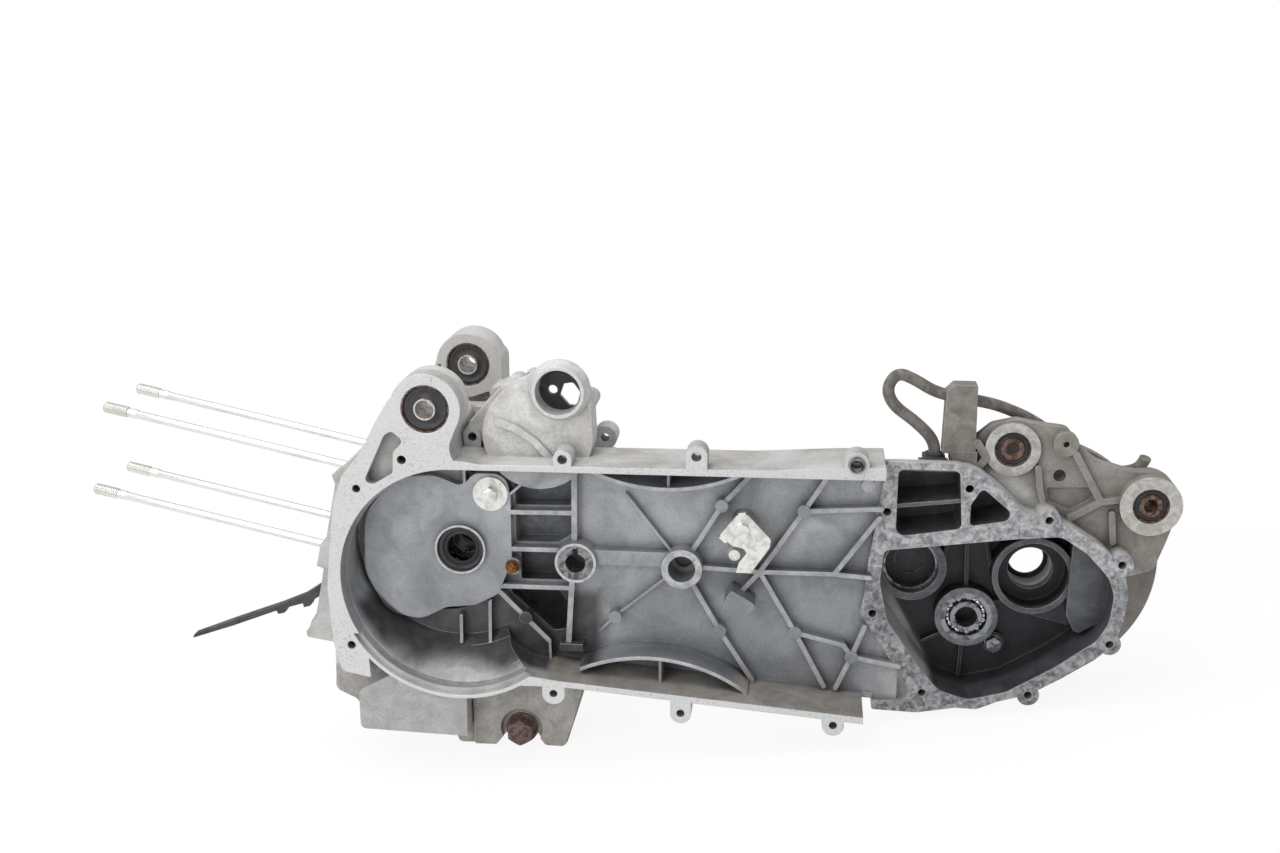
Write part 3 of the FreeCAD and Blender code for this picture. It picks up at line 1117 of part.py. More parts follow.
def build():
    """Make every piece and write one file for each node."""
    os.makedirs("parts", exist_ok=True)
    export("left_crankcase", left_crankcase())
    export("right_crankcase", right_crankcase())
    export("crankcase_gasket", gasket())
    names = ("outer_sleeve", "rubber", "inner_sleeve")
    left_bush = bush(hanger_x, hanger_z, hanger_bush_r, hanger_inner_r, hanger_bore_r,
                     cover_face, cover_face + hanger_left_width, bush_proud)
    right_bush = bush(hanger_x, hanger_z, hanger_bush_r, hanger_inner_r, hanger_bore_r,
                      hanger_right_face, hanger_right_face + hanger_right_width, bush_proud)
    front_eye = bush(front_eye_x, front_eye_z, eye_bush_r, eye_inner_r, eye_bore_r, front_eye_face + 2,
                     front_eye_end, 0.5)
    rear_eye = bush(rear_eye_x, rear_eye_z, eye_bush_r, eye_inner_r, eye_bore_r, rear_eye_face + 2,
                    rear_eye_end, 0.5)
    for prefix, pieces in (("hanger_bush_left", left_bush), ("hanger_bush_right", right_bush),
                           ("rear_eye_front", front_eye), ("rear_eye_rear", rear_eye)):
        for name, piece in zip(names, pieces):
            export(prefix + "_" + name, piece)
    for side, y in zip(("left", "right"), stud_depths):
        for level, up in zip(("upper", "lower"), stud_ups):
            export("cylinder_stud_" + level + "_" + side, cylinder_stud(up, y))
    export("chain_guide", chain_guide())
    export("chain_guide_pin", chain_guide_pin())
    export("crank_oil_seal", ring(0, 0, seal_r, seal_inner_r, crank_face - seal_collar_height + seal_setback,
                                  crank_face - seal_collar_height + seal_setback + seal_width))
    left = ball_bearing(0, 0, left_bearing_r, left_bearing_bore_r, bearing_wall_face, left_bearing_width, 8, 3.9)
    right = ball_bearing(0, 0, right_bearing_r, right_bearing_bore_r, right_wall_face - right_bearing_width + 3,
                         right_bearing_width, 8, 4.7)
    middle = ball_bearing(middle_x, middle_z, middle_bearing_r, middle_bearing_bore_r, middle_face,
                          middle_bearing_width, 11, 2.9)
    for prefix, pieces in (("left_main_bearing", left), ("right_main_bearing", right), ("middle_bearing", middle)):
        for name, piece in zip(("outer_race", "cage", "inner_race"), pieces):
            export(prefix + "_" + name, piece)
    export("primary_bearing_ring", ring(primary_x, primary_z, primary_bore_r, primary_bore_r - primary_ring_wall,
                                        gear_floor - primary_ring_width - 1, gear_floor - 1))
    export("axle_oil_seal", ring(axle_x, axle_z, axle_seal_r, axle_seal_bore_r, axle_hub_end - axle_seal_width - 2,
                                 axle_hub_end - 2))
    export("kick_shaft_bush", kick_bush())
    export("guard_washer", ring(guard_washer_x, guard_washer_z, guard_washer_r, guard_bolt_r,
                                crank_face - guard_washer_t, crank_face))
    export("guard_washer_bolt", hex_bolt(guard_washer_x, guard_washer_z, guard_head_flats, guard_head_h,
                                         guard_bolt_r, crank_face - guard_washer_t, 12))
    export("tray_screw", hex_bolt(tray_screw_x, tray_screw_z, 7.0, 4.0, 2.5, crank_face, 12, tray_screw_r + 1, 1.0))
    export("stop_plate", stop_plate())
    plate_top = bay_floor - plate_boss_height - plate_t
    export("stop_plate_screw", fuse([
        cylinder(plate_screw_x, plate_screw_z, plate_screw_head_r, plate_top - 3, plate_top),
        cylinder(plate_screw_x, plate_screw_z, plate_screw_r, plate_top - 1, bay_floor),
    ]).removeSplitter())
    pin_base = bay_floor - plate_boss_height + 3
    export("stop_pin", fuse([
        cylinder(stop_pin_x, stop_pin_z, stop_pin_head_r, pin_base - 7, pin_base - 4),
        cylinder(stop_pin_x, stop_pin_z, stop_pin_r, pin_base - 5, bay_floor),
    ]).removeSplitter())
    rear_lug = cover_lugs()[2]
    export("cover_dowel", ring(rear_lug[0], rear_lug[1], rear_dowel_r, rear_dowel_r - dowel_wall,
                               cover_face - dowel_proud, cover_face + dowel_length - dowel_proud))
    export("gear_bay_bolt", hex_bolt(gear_bolt_x, gear_bolt_z, gear_bolt_flats, 5, gear_bolt_r, gear_floor - 6, 10,
                                     6.5, 1.5))
    washer_face = sump_face
    export("drain_washer", ring(drain_x, drain_z, drain_flange_r, drain_thread_r, washer_face - drain_washer_t,
                                washer_face))
    export("drain_bolt", hex_bolt(drain_x, drain_z, drain_flats, drain_head_h, drain_thread_r,
                                  washer_face - drain_washer_t, drain_thread_length, drain_flange_r, drain_flange_h))
    export("brake_anchor_pin", brake_anchor_pin())
    export("case_bolts", case_bolts())
    export("breather_grommet", grommet())
    export("breather_hose", breather_hose())
    print("standing angle", round(standing_angle(), 3))


build()
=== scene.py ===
import logging
import math
from dataclasses import dataclass
from enum import Enum
from typing import Sequence

import bmesh
import bpy
from mathutils import Matrix, Vector


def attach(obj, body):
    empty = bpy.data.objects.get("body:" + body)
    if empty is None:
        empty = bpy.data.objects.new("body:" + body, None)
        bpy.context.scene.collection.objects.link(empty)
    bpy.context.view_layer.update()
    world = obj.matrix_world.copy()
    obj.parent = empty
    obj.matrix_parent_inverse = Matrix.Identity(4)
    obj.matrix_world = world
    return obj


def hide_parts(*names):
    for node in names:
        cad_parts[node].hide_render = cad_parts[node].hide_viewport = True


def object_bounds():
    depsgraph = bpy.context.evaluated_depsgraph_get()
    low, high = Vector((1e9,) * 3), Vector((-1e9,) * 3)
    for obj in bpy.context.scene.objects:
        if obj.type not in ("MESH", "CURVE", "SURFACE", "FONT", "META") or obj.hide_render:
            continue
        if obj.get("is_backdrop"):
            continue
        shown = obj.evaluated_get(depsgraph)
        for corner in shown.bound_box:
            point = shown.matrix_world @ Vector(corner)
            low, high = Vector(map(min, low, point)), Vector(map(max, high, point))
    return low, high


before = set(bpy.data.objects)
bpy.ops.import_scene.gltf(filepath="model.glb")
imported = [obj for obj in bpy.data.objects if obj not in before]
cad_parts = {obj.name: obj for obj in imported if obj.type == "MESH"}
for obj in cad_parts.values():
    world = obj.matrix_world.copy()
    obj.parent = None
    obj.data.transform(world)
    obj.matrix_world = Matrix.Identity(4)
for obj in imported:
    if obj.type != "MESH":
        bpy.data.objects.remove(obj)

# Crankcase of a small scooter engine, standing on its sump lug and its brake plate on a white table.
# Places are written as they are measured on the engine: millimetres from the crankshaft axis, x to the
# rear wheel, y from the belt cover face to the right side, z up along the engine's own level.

LOG = logging.getLogger("crankcase")
MM = 0.001
TILT = math.radians(7.5664)
DATUM_Y = 61.0
CYLINDER_TILT = math.radians(12.15)
IMAGE_WIDTH = 1280
IMAGE_HEIGHT = 853
SENSOR_WIDTH = 36.0
CUT_ROUGHNESS = 0.36
CUT_REACH = 0.25
RIM_REACH = 0.2
RIM_SOFT = 0.15
FLAT_COSINE = 0.99
WELD = 1e-4
Point = tuple[float, float, float]
Corner = tuple[float, float]
Node = bpy.types.Node
Socket = bpy.types.NodeSocket
Tree = bpy.types.NodeTree
Material = bpy.types.Material


class Facing(Enum):
    """Directions on the engine in which a round piece points."""

    LEFT = (0.0, -1.0, 0.0)
    RIGHT = (0.0, 1.0, 0.0)
    UP = (0.0, 0.0, 1.0)
    CYLINDER = (-math.cos(CYLINDER_TILT), 0.0, math.sin(CYLINDER_TILT))


def turned(x: float, y: float, z: float) -> Vector:
    """Row-frame direction of a direction measured on the engine."""
    return Vector((x * math.cos(TILT) + z * math.sin(TILT), y, -x * math.sin(TILT) + z * math.cos(TILT)))


def placed(x: float, y: float, z: float) -> Vector:
    """Row-frame point, in metres, of a point measured on the engine in millimetres."""
    return turned(x, y - DATUM_Y, z) * MM


def stand(origin: Point, facing: Facing) -> Matrix:
    """Matrix that carries a piece made along local Z, in millimetres, to its place.

    Args:
        origin: The point of the engine that local (0, 0, 0) comes to.
        facing: The direction that local Z comes to.

    Returns:
        The matrix, with the change to metres in it.
    """
    along = turned(*facing.value).normalized()
    side = turned(0.0, 0.0, 1.0) if abs(facing.value[1]) > 0.5 else Vector((0.0, 1.0, 0.0))
    across = side.cross(along).normalized()
    matrix = Matrix((across, along.cross(across), along)).transposed() * MM
    return Matrix.Translation(placed(*origin)) @ matrix.to_4x4()


def linear(code: str) -> tuple[float, float, float, float]:
    """Linear colour of an sRGB hex value.

    Args:
        code: Six hex digits after a hash.

    Returns:
        Red, green, blue and full alpha.
    """
    parts = [int(code[i:i + 2], 16) / 255 for i in (1, 3, 5)]
    return tuple(c / 12.92 if c <= 0.04045 else ((c + 0.055) / 1.055) ** 2.4 for c in parts) + (1.0,)


def add_node(tree: Tree, kind: str, inputs: dict | None = None, **settings) -> Node:
    """Adds a node with its settings, values and links.

    Args:
        tree: The tree that gets the node.
        kind: Blender's name of the node type.
        inputs: Socket name or number to a value, a node (its first live output) or a socket.
        settings: The node's own properties.

    Returns:
        The new node.
    """
    node = tree.nodes.new(kind)
    for name, value in settings.items():
        setattr(node, name, value)
    for key, value in (inputs or {}).items():
        socket = node.inputs[key]
        if isinstance(value, Node):
            tree.links.new(next(out for out in value.outputs if out.enabled), socket)
        elif isinstance(value, Socket):
            tree.links.new(value, socket)
        else:
            socket.default_value = value
    return node


def maths(tree: Tree, operation: str, *values: Node | Socket | float) -> Node:
    """Adds a math node of one operation."""
    return add_node(tree, "ShaderNodeMath", dict(enumerate(values)), operation=operation)


def vectors(tree: Tree, operation: str, *values: Node | Socket | Point) -> Node:
    """Adds a vector math node of one operation."""
    return add_node(tree, "ShaderNodeVectorMath", dict(enumerate(values)), operation=operation)


def ramp(tree: Tree, value: Node | Socket, low: float, high: float, first: float = 0.0,
         last: float = 1.0) -> Node:
    """Adds a node that carries values between low and high to values between first and last."""
    return add_node(tree, "ShaderNodeMapRange", {0: value, 1: low, 2: high, 3: first, 4: last})


def noise(tree: Tree, place: Node, size: float, detail: float, roughness: float,
          distortion: float = 0.0) -> Node:
    """Adds cloudy noise whose clouds are about as wide as size, in millimetres."""
    return add_node(tree, "ShaderNodeTexNoise", {"Vector": place, "Scale": 1 / size, "Detail": detail,
                                                 "Roughness": roughness, "Distortion": distortion})


def blend(tree: Tree, share: Node | float, first: object, second: object, kind: str = "MIX") -> Socket:
    """Adds a mix of two colours and returns the mixed colour."""
    return add_node(tree, "ShaderNodeMix", {0: share, 6: first, 7: second}, data_type="RGBA",
                    blend_type=kind).outputs[2]


def bump(tree: Tree, height: Node, strength: float, distance: float, normal: Node) -> Node:
    """Adds a bump whose full height is distance, in millimetres."""
    return add_node(tree, "ShaderNodeBump", {"Height": height, "Strength": strength,
                                             "Distance": distance * MM, "Normal": normal})


def seen_by(tree: Tree, *rays: str) -> Node:
    """Adds nodes that are 1 for the named kinds of ray and 0 for others."""
    path = add_node(tree, "ShaderNodeLightPath").outputs
    seen = maths(tree, "MAXIMUM", path[rays[0]], path[rays[1]])
    for ray in rays[2:]:
        seen = maths(tree, "MAXIMUM", seen, path[ray])
    return seen


def blank_material(name: str) -> Material:
    """Makes a material with an empty tree."""
    material = bpy.data.materials.new(name)
    material.use_nodes = True
    material.node_tree.nodes.clear()
    return material


def linked(name: str, data: bpy.types.ID) -> bpy.types.Object:
    """Makes an object of its data and puts it in the scene."""
    piece = bpy.data.objects.new(name, data)
    bpy.context.scene.collection.objects.link(piece)
    return piece


@dataclass(frozen=True)
class Zone:
    """A region of the casting, drawn from the left side, between two depths."""

    corners: tuple[Corner, ...]
    near: float
    far: float
    soft: float = 1.2
    centre: Corner = (0.0, 0.0)
    radius: float = 0.0

    @classmethod
    def disc(cls, centre: Corner, radius: float, near: float, far: float, soft: float = 1.2) -> "Zone":
        """A round zone.

        Args:
            centre: Its centre.
            radius: Its radius.
            near: Where it starts in depth.
            far: Where it ends in depth.
            soft: The width of its edge.

        Returns:
            The zone.
        """
        return cls((), near, far, soft, centre, radius)

    @classmethod
    def face(cls, depth: float, corners: tuple[Corner, ...], reach: float = RIM_REACH,
             soft: float = RIM_SOFT) -> "Zone":
        """The thin zone of one flat face.

        Args:
            depth: The face's depth.
            corners: Its outline.
            reach: How far the zone goes to either side of it.
            soft: The width of the zone's edge.

        Returns:
            The zone.
        """
        return cls(corners, depth - reach, depth + reach, soft)

    def mask(self, tree: Tree, place: Node) -> Node:
        """Nodes that are 1 inside the zone and 0 outside.

        Args:
            tree: The material's tree.
            place: The node that gives the place on the engine in millimetres.

        Returns:
            The node with the mask.
        """
        depth = vectors(tree, "DOT_PRODUCT", place, (0.0, 1.0, 0.0))
        level = maths(tree, "SUBTRACT", self.near, depth)
        past = maths(tree, "SUBTRACT", depth, self.far)
        level = maths(tree, "MAXIMUM", level, past)
        if self.radius > 0:
            flat = vectors(tree, "MULTIPLY", place, (1.0, 0.0, 1.0))
            middle = (self.centre[0], 0.0, self.centre[1])
            away = vectors(tree, "DISTANCE", flat, middle)
            away = maths(tree, "SUBTRACT", away, self.radius)
            level = maths(tree, "MAXIMUM", level, away)
        middle_x = sum(c[0] for c in self.corners) / max(len(self.corners), 1)
        middle_z = sum(c[1] for c in self.corners) / max(len(self.corners), 1)
        for first, second in zip(self.corners, self.corners[1:] + self.corners[:1]):
            normal = Vector((second[1] - first[1], first[0] - second[0])).normalized()
            if normal.dot(Vector((first[0] - middle_x, first[1] - middle_z))) < 0:
                normal = -normal
            side = vectors(tree, "DOT_PRODUCT", place, (normal.x, 0.0, normal.y))
            away = maths(tree, "SUBTRACT", side, normal.dot(Vector(first)))
            level = maths(tree, "MAXIMUM", level, away)
        return add_node(tree, "ShaderNodeMapRange", {0: level, 1: self.soft, 2: -self.soft, 3: 0.0, 4: 1.0},
                        interpolation_type="SMOOTHSTEP")


@dataclass(frozen=True)
class Coat:
    """Colour of one zone: dry grime, a film of oil, a machined face, or painted shade and highlight."""

    zone: Zone
    light: str
    dark: str
    roughness: float
    cover: float = 0.9
    patch: float = 18.0


@dataclass(frozen=True)
class CastAluminium:
    """Sand-cast aluminium: a dull light grey with a grain like fine sandpaper, worn brighter on edges with a
    painted highlight, and darkened by grime and painted shade where walls meet.
    """

    name: str
    clean: str = "#c6c6c6"
    grime: str = "#a4a09b"
    # colour of the grime and painted shade where walls meet
    crevice_grime_and_shade: str = "#3b3a39"
    machined: str = "#cdcecf"
    # edge colour: rubbed metal with a painted highlight
    worn_and_highlight: str = "#dcdddd"
    grain: float = 0.9
    metallic: float = 0.35
    roughness: float = 0.52
    # how strongly grime and painted shade darken the hollows
    hollow_darkening: float = 0.7
    coats: tuple[Coat, ...] = ()
    machined_depths: tuple[float, ...] = ()
    turned_centres: tuple[Point, ...] = ()
    tool_pitch: float = 1.6
    rounding: float = 0.9
    hollow_reach: float = 11.0

    def build(self) -> Material:
        """Makes the material.

        Returns:
            The finished material.
        """
        material = blank_material(self.name)
        tree = material.node_tree
        coordinates = add_node(tree, "ShaderNodeTexCoord")
        place = add_node(tree, "ShaderNodeMapping", {
            "Vector": coordinates.outputs["Object"], "Location": (0.0, DATUM_Y, 0.0),
            "Rotation": (0.0, -TILT, 0.0), "Scale": (1000.0, 1000.0, 1000.0)}, vector_type="POINT")
        geometry = add_node(tree, "ShaderNodeNewGeometry")
        rounded = add_node(tree, "ShaderNodeBevel", {"Radius": self.rounding * MM}, samples=4)
        broad = noise(tree, place, 38.0, 5.0, 0.62, 0.4)
        patches = ramp(tree, broad, 0.38, 0.66)
        colour = blend(tree, patches, linear(self.clean), linear(self.grime))
        rough = ramp(tree, broad, 0.3, 0.7, self.roughness, self.roughness + 0.16)
        for coat in self.coats:
            mask = coat.zone.mask(tree, place)
            cloud = noise(tree, place, coat.patch, 6.0, 0.6, 0.6)
            cloud = ramp(tree, cloud, 0.36, 0.64)
            tone = blend(tree, cloud, linear(coat.light), linear(coat.dark))
            share = maths(tree, "MULTIPLY", mask, coat.cover)
            colour = blend(tree, share, colour, tone)
            rough = add_node(tree, "ShaderNodeMix", {0: share, 2: rough, 3: coat.roughness},
                             data_type="FLOAT")

        # grime and painted shade gather where walls meet: the colour darkens where a short occlusion test
        # finds walls near
        hollow = add_node(tree, "ShaderNodeAmbientOcclusion", {"Distance": self.hollow_reach * MM},
                          samples=6, only_local=True)
        sunk = ramp(tree, hollow.outputs["AO"], 0.72, 0.18, 0.0, self.hollow_darkening)
        # patchy noise that breaks up the painted shade and the painted edge highlight
        patchy_mask = noise(tree, place, 7.0, 6.0, 0.7)
        patchy_mask = ramp(tree, patchy_mask, 0.3, 0.62, 0.45, 1.0)
        sunk = maths(tree, "MULTIPLY", sunk, patchy_mask)
        colour = blend(tree, sunk, colour, linear(self.crevice_grime_and_shade))

        # cut faces: smooth and pale, with dark pores
        facing = vectors(tree, "DOT_PRODUCT", geometry.outputs["True Normal"], (0.0, -1.0, 0.0))
        flat = maths(tree, "GREATER_THAN", facing, FLAT_COSINE)
        depth = vectors(tree, "DOT_PRODUCT", place, (0.0, 1.0, 0.0))
        cut = None
        for level in self.machined_depths:
            near = maths(tree, "COMPARE", depth, level, CUT_REACH)
            cut = near if cut is None else maths(tree, "MAXIMUM", cut, near)
        pores = noise(tree, place, 2.2, 4.0, 0.75)
        if cut is not None:
            cut = maths(tree, "MULTIPLY", cut, flat)
            sound = ramp(tree, pores, 0.38, 0.47, 0.15, 0.92)
            cut = maths(tree, "MULTIPLY", cut, sound)
            colour = blend(tree, cut, colour, linear(self.machined))
            rough = add_node(tree, "ShaderNodeMix", {0: cut, 2: rough, 3: CUT_ROUGHNESS}, data_type="FLOAT")

        # edges painted brighter: rubbed wear and a painted highlight
        bend = vectors(tree, "DOT_PRODUCT", rounded, geometry.outputs["True Normal"])
        edge = ramp(tree, bend, 0.97, 0.8, 0.0, 0.7)
        open_side = ramp(tree, hollow.outputs["AO"], 0.55, 0.8)
        edge = maths(tree, "MULTIPLY", edge, open_side)
        edge = maths(tree, "MULTIPLY", edge, patchy_mask)
        colour = blend(tree, edge, colour, linear(self.worn_and_highlight))

        # the grain of the mould, drawn a little coarser than the real sand so that it shows
        sand = noise(tree, place, self.grain, 3.0, 0.6)
        speck = ramp(tree, sand, 0.3, 0.7, 0.82, 1.12)
        colour = blend(tree, 1.0, colour, speck, "MULTIPLY")
        lump = maths(tree, "MULTIPLY_ADD", pores, 0.8, sand)
        normal = bump(tree, lump, 0.32, 0.35, rounded)
        for x, z, reach in self.turned_centres:
            zone = Zone.disc((x, z), reach, 22.0, 82.0)
            flat_place = vectors(tree, "MULTIPLY", place, (1.0, 0.0, 1.0))
            away = vectors(tree, "DISTANCE", flat_place, (x, 0.0, z))
            wave = maths(tree, "MULTIPLY", away, 2 * math.pi / self.tool_pitch)
            wave = maths(tree, "SINE", wave)
            wave = maths(tree, "MULTIPLY", wave, zone.mask(tree, place))
            wave = maths(tree, "MULTIPLY", wave, flat)
            normal = bump(tree, wave, 0.22, 0.12, normal)
        shader = add_node(tree, "ShaderNodeBsdfPrincipled", {
            "Base Color": colour, "Metallic": self.metallic, "Roughness": rough, "Normal": normal})
        add_node(tree, "ShaderNodeOutputMaterial", {"Surface": shader})
        return material


@dataclass(frozen=True)
class Finish:
    """A turned, plated, moulded or rusted surface with a second colour in patches, a fine grain and painted
    shade in its hollows.
    """

    name: str
    main: str
    second: str
    share: float = 0.5
    patch: float = 6.0
    grain: float = 0.6
    bump: float = 0.1
    metallic: float = 0.0
    roughness: float = 0.5
    sheen: float = 0.0
    # strength and colour of the painted shade in the hollows
    hollow_darkening: float = 0.0
    hollow_shade_colour: str = "#2c2825"
    rounding: float = 0.35
    hollow_reach: float = 4.0

    def build(self) -> Material:
        """Makes the material.

        Returns:
            The finished material.
        """
        material = blank_material(self.name)
        tree = material.node_tree
        coordinates = add_node(tree, "ShaderNodeTexCoord")
        place = add_node(tree, "ShaderNodeMapping", {"Vector": coordinates.outputs["Object"],
                                                     "Scale": (1000.0, 1000.0, 1000.0)}, vector_type="POINT")
        cloud = noise(tree, place, self.patch, 6.0, 0.65, 0.5)
        low = 0.68 - 0.36 * self.share
        cloud = ramp(tree, cloud, low - 0.06, low + 0.06)
        colour = blend(tree, cloud, linear(self.main), linear(self.second))
        # painted shade: darker in the hollows that a short occlusion test finds
        if self.hollow_darkening > 0:
            hollow = add_node(tree, "ShaderNodeAmbientOcclusion", {"Distance": self.hollow_reach * MM},
                              samples=4, only_local=True)
            sunk = ramp(tree, hollow.outputs["AO"], 0.8, 0.3, 0.0, self.hollow_darkening)
            colour = blend(tree, sunk, colour, linear(self.hollow_shade_colour))
        fine = noise(tree, place, self.grain, 4.0, 0.65)
        speck = ramp(tree, fine, 0.3, 0.7, 0.88, 1.1)
        colour = blend(tree, 1.0, colour, speck, "MULTIPLY")
        rough = ramp(tree, cloud, 0.0, 1.0, self.roughness, min(self.roughness + 0.18, 1.0))
        rounded = add_node(tree, "ShaderNodeBevel", {"Radius": self.rounding * MM}, samples=4)
        normal = bump(tree, fine, self.bump * 4, 0.2, rounded)
        shader = add_node(tree, "ShaderNodeBsdfPrincipled", {
            "Base Color": colour, "Metallic": self.metallic, "Roughness": rough, "Normal": normal,
            "Sheen Weight": self.sheen})
        add_node(tree, "ShaderNodeOutputMaterial", {"Surface": shader})
        return material


@dataclass(frozen=True)
class Castings:
    """The two halves of the case, each cast in one piece."""

    bay_centre: Corner = (3.0, -12.0)
    bay_radius: float = 79.0
    axle: Corner = (389.0, -14.5)
    middle: Corner = (346.5, -47.8)
    primary: Corner = (307.0, -12.0)
    front_eye: Corner = (369.0, 76.0)
    rear_eye: Corner = (460.0, 41.0)
    kick_boss: Corner = (80.0, -5.8)
    bay_boss: Corner = (152.2, -7.3)

    def left_finish(self) -> CastAluminium:
        """Finish of the left half, with its oily and dusty places and its painted shade and highlights.

        Returns:
            The finish.
        """
        bay = ((3, 67.5), (284, 69.5), (286, -98.5), (73, -81.5), (-10, -70))
        gear = ((286, 9), (374, 21), (403, 23.5), (421, 12), (440, -10), (439, -39), (431, -52.5),
                (404, -73.5), (373, -92.5), (347, -99.5), (326.5, -93), (283.5, -14))
        upper = ((290, 67), (338, 67), (378, 34), (338, 18), (290, 16))
        bracket = ((330, 100), (490, 90), (490, -30), (446, -14), (400, 30), (345, 66))
        rib_pocket_shade = ((37, 51), (76, 51), (76, 3), (37, 3))
        oily_rib_pocket_shade = ((38, -2), (66, -2), (74, -24), (71, -61), (62, -62), (28, -30))
        crescent_shadow = ((-78, -36), (-60, -60), (-30, -78), (40, -82), (96, -84), (96, -30))
        disc = ((-80, 62), (42, 62), (42, -40), (-52, -57), (-80, -28))
        coats = (
            Coat(Zone(bracket, 48, 90, 4), "#918c86", "#756f68", 0.7, 0.85, 14),
            Coat(Zone(((317, 60), (358, 60), (347, 125), (317, 125)), 49, 70, 2), "#8e8a84", "#6e6963", 0.72,
                 0.95, 9),
            Coat(Zone.disc(self.axle, 92, 86, 112, 2), "#8f8a85", "#746e69", 0.72),
            Coat(Zone(((-110, -95), (84, -80), (84, -152), (-110, -152)), 24, 84, 3), "#aeaba6", "#8f8b85",
                 0.75, 0.85, 9),
            Coat(Zone(((-78, -95), (3.5, -95), (3.5, -138), (-78, -138)), 20, 37), "#b4b3b4", "#a2a09f", 0.6,
                 0.9, 12),
            Coat(Zone(((-112, 56), (108, 60), (108, 140), (-60, 140)), 14, 84, 3), "#dad9d8", "#bbb9b6",
                 0.62, 0.8, 12),
            Coat(Zone(bay, 1, 46), "#aaacb0", "#85888c", 0.46, 0.92, 30),
            Coat(Zone.disc(self.bay_centre, self.bay_radius, 1, 46), "#a6a8ab", "#828589", 0.46, 0.92, 26),
            # painted shade: the belt bay darkens softly towards its lower right
            Coat(Zone(((140, -16), (290, 10), (290, -100), (110, -84)), 12, 46, 26), "#6f7276", "#585b60",
                 0.42, 0.75, 22),
            Coat(Zone(((-74, -46), (80, -70), (80, -100), (-74, -100)), 9, 30, 3), "#bdbcbc", "#989797",
                 0.45, 0.8, 14),
            # painted shadow: the crescent pocket and the annulus below the crank disc drawn near black
            Coat(Zone(crescent_shadow, 14, 60, 6), "#4b4a4a", "#303135", 0.4, 0.95, 14),
            # painted shade: the deep pockets between the ribs beside the crank disc drawn dark, the lower
            # ones with an oily gloss
            Coat(Zone(rib_pocket_shade, 42.5, 60), "#676a6e", "#42454a", 0.28, 0.92, 9),
            Coat(Zone(oily_rib_pocket_shade, 42.5, 60), "#3b3e43", "#26282c", 0.26, 0.95, 12),
            # painted highlight: the top faces of the ribs in the belt bay drawn lighter
            Coat(Zone.face(34, bay, 0.15, 0.12), "#bdbec0", "#94969a", 0.4, 0.8, 9),
            Coat(Zone.face(15, bay, 0.15, 0.12), "#c6c7c8", "#a2a4a6", 0.4, 0.8, 9),
            Coat(Zone(disc, 25, 35.5, 1.2, (-14, -3), 56), "#aaacb0", "#8d9094", 0.4, 0.9, 20),
            Coat(Zone.disc((-2, -20), 34, 25, 35.5, 15), "#7b7d80", "#65676a", 0.4, 0.75, 16),
            Coat(Zone(((62, -76), (284, -88), (284, -110), (62, -90)), 1, 38, 3), "#b6b0a9", "#938c84", 0.5,
                 0.8, 16),
            Coat(Zone(gear, 39, 82), "#55585c", "#383a3f", 0.34, 0.95, 16),
            Coat(Zone(upper, 39, 82), "#5b5e62", "#3a3c40", 0.36, 0.95, 12),
            Coat(Zone(gear, 64, 82, 6), "#25272a", "#141518", 0.5, 0.92, 20),
            Coat(Zone.disc(self.middle, 21.4, 62, 66), "#73757a", "#4e5054", 0.34, 0.9, 6),
            Coat(Zone.disc(self.axle, 27.4, 58, 62.5), "#616367", "#414348", 0.34, 0.9, 8),
            Coat(Zone.disc(self.primary, 24.2, 60, 64.5), "#606266", "#404246", 0.34, 0.9, 8),
            Coat(Zone.face(38, ((274, 72), (450, 72), (450, -4), (274, -4))), "#bcbdbe", "#6f7176", 0.42,
                 0.95, 4),
            Coat(Zone.face(38, ((270, -4), (450, -4), (450, -112), (270, -112))), "#a3a4a6", "#4d4f54", 0.42,
                 0.95, 4),
        )
        rims = (
            (self.front_eye, 18.4, 54, ("#c9c8c5", "#9d9891", 0.45, 0.85, 7)),
            (self.rear_eye, 20.4, 50, ("#cdccc9", "#a59f98", 0.45, 0.85, 7)),
            (self.kick_boss, 14.4, 28, ("#d2d3d4", "#a4a5a7", CUT_ROUGHNESS, 0.9, 5)),
            (self.bay_boss, 14.1, 28, ("#c9cacb", "#97999c", CUT_ROUGHNESS, 0.9, 5)),
            ((0, 0), 18, 30, ("#d4d5d6", "#a9aaac", CUT_ROUGHNESS, 0.9, 5)),
        )
        coats += tuple(Coat(Zone.disc(centre, radius, depth - RIM_REACH, depth + RIM_REACH, RIM_SOFT),
                            *look) for centre, radius, depth, look in rims)
        return CastAluminium(
            "sand_cast_aluminium_left", coats=coats, machined_depths=(0.0, 13.0),
            turned_centres=((0.0, 0.0, 46.0), (self.axle[0], self.axle[1], 40.0), (56.5, 85.0, 36.0)))

    def right_finish(self) -> CastAluminium:
        """Finish of the right half, which is dustier."""
        return CastAluminium("sand_cast_aluminium_right", clean="#cfcecc", grime="#b0aca7", hollow_darkening=0.4,
                             machined="#bdbcb9", machined_depths=(128.0,))

    def dress(self) -> None:
        """Gives both halves their finish."""
        dress_nodes(self.left_finish().build(), ["left_crankcase"])
        dress_nodes(self.right_finish().build(), ["right_crankcase"])


def dress_nodes(material: Material, names: Sequence[str]) -> None:
    """Gives CAD nodes a material through their object's slots.

    Args:
        material: The finish.
        names: The nodes that get it.
    """
    for name in names:
        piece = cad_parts[name]
        if not piece.material_slots:
            piece.data.materials.append(material)
        for slot in piece.material_slots:
            slot.material = material
        LOG.info("dressed %s in %s", name, material.name)


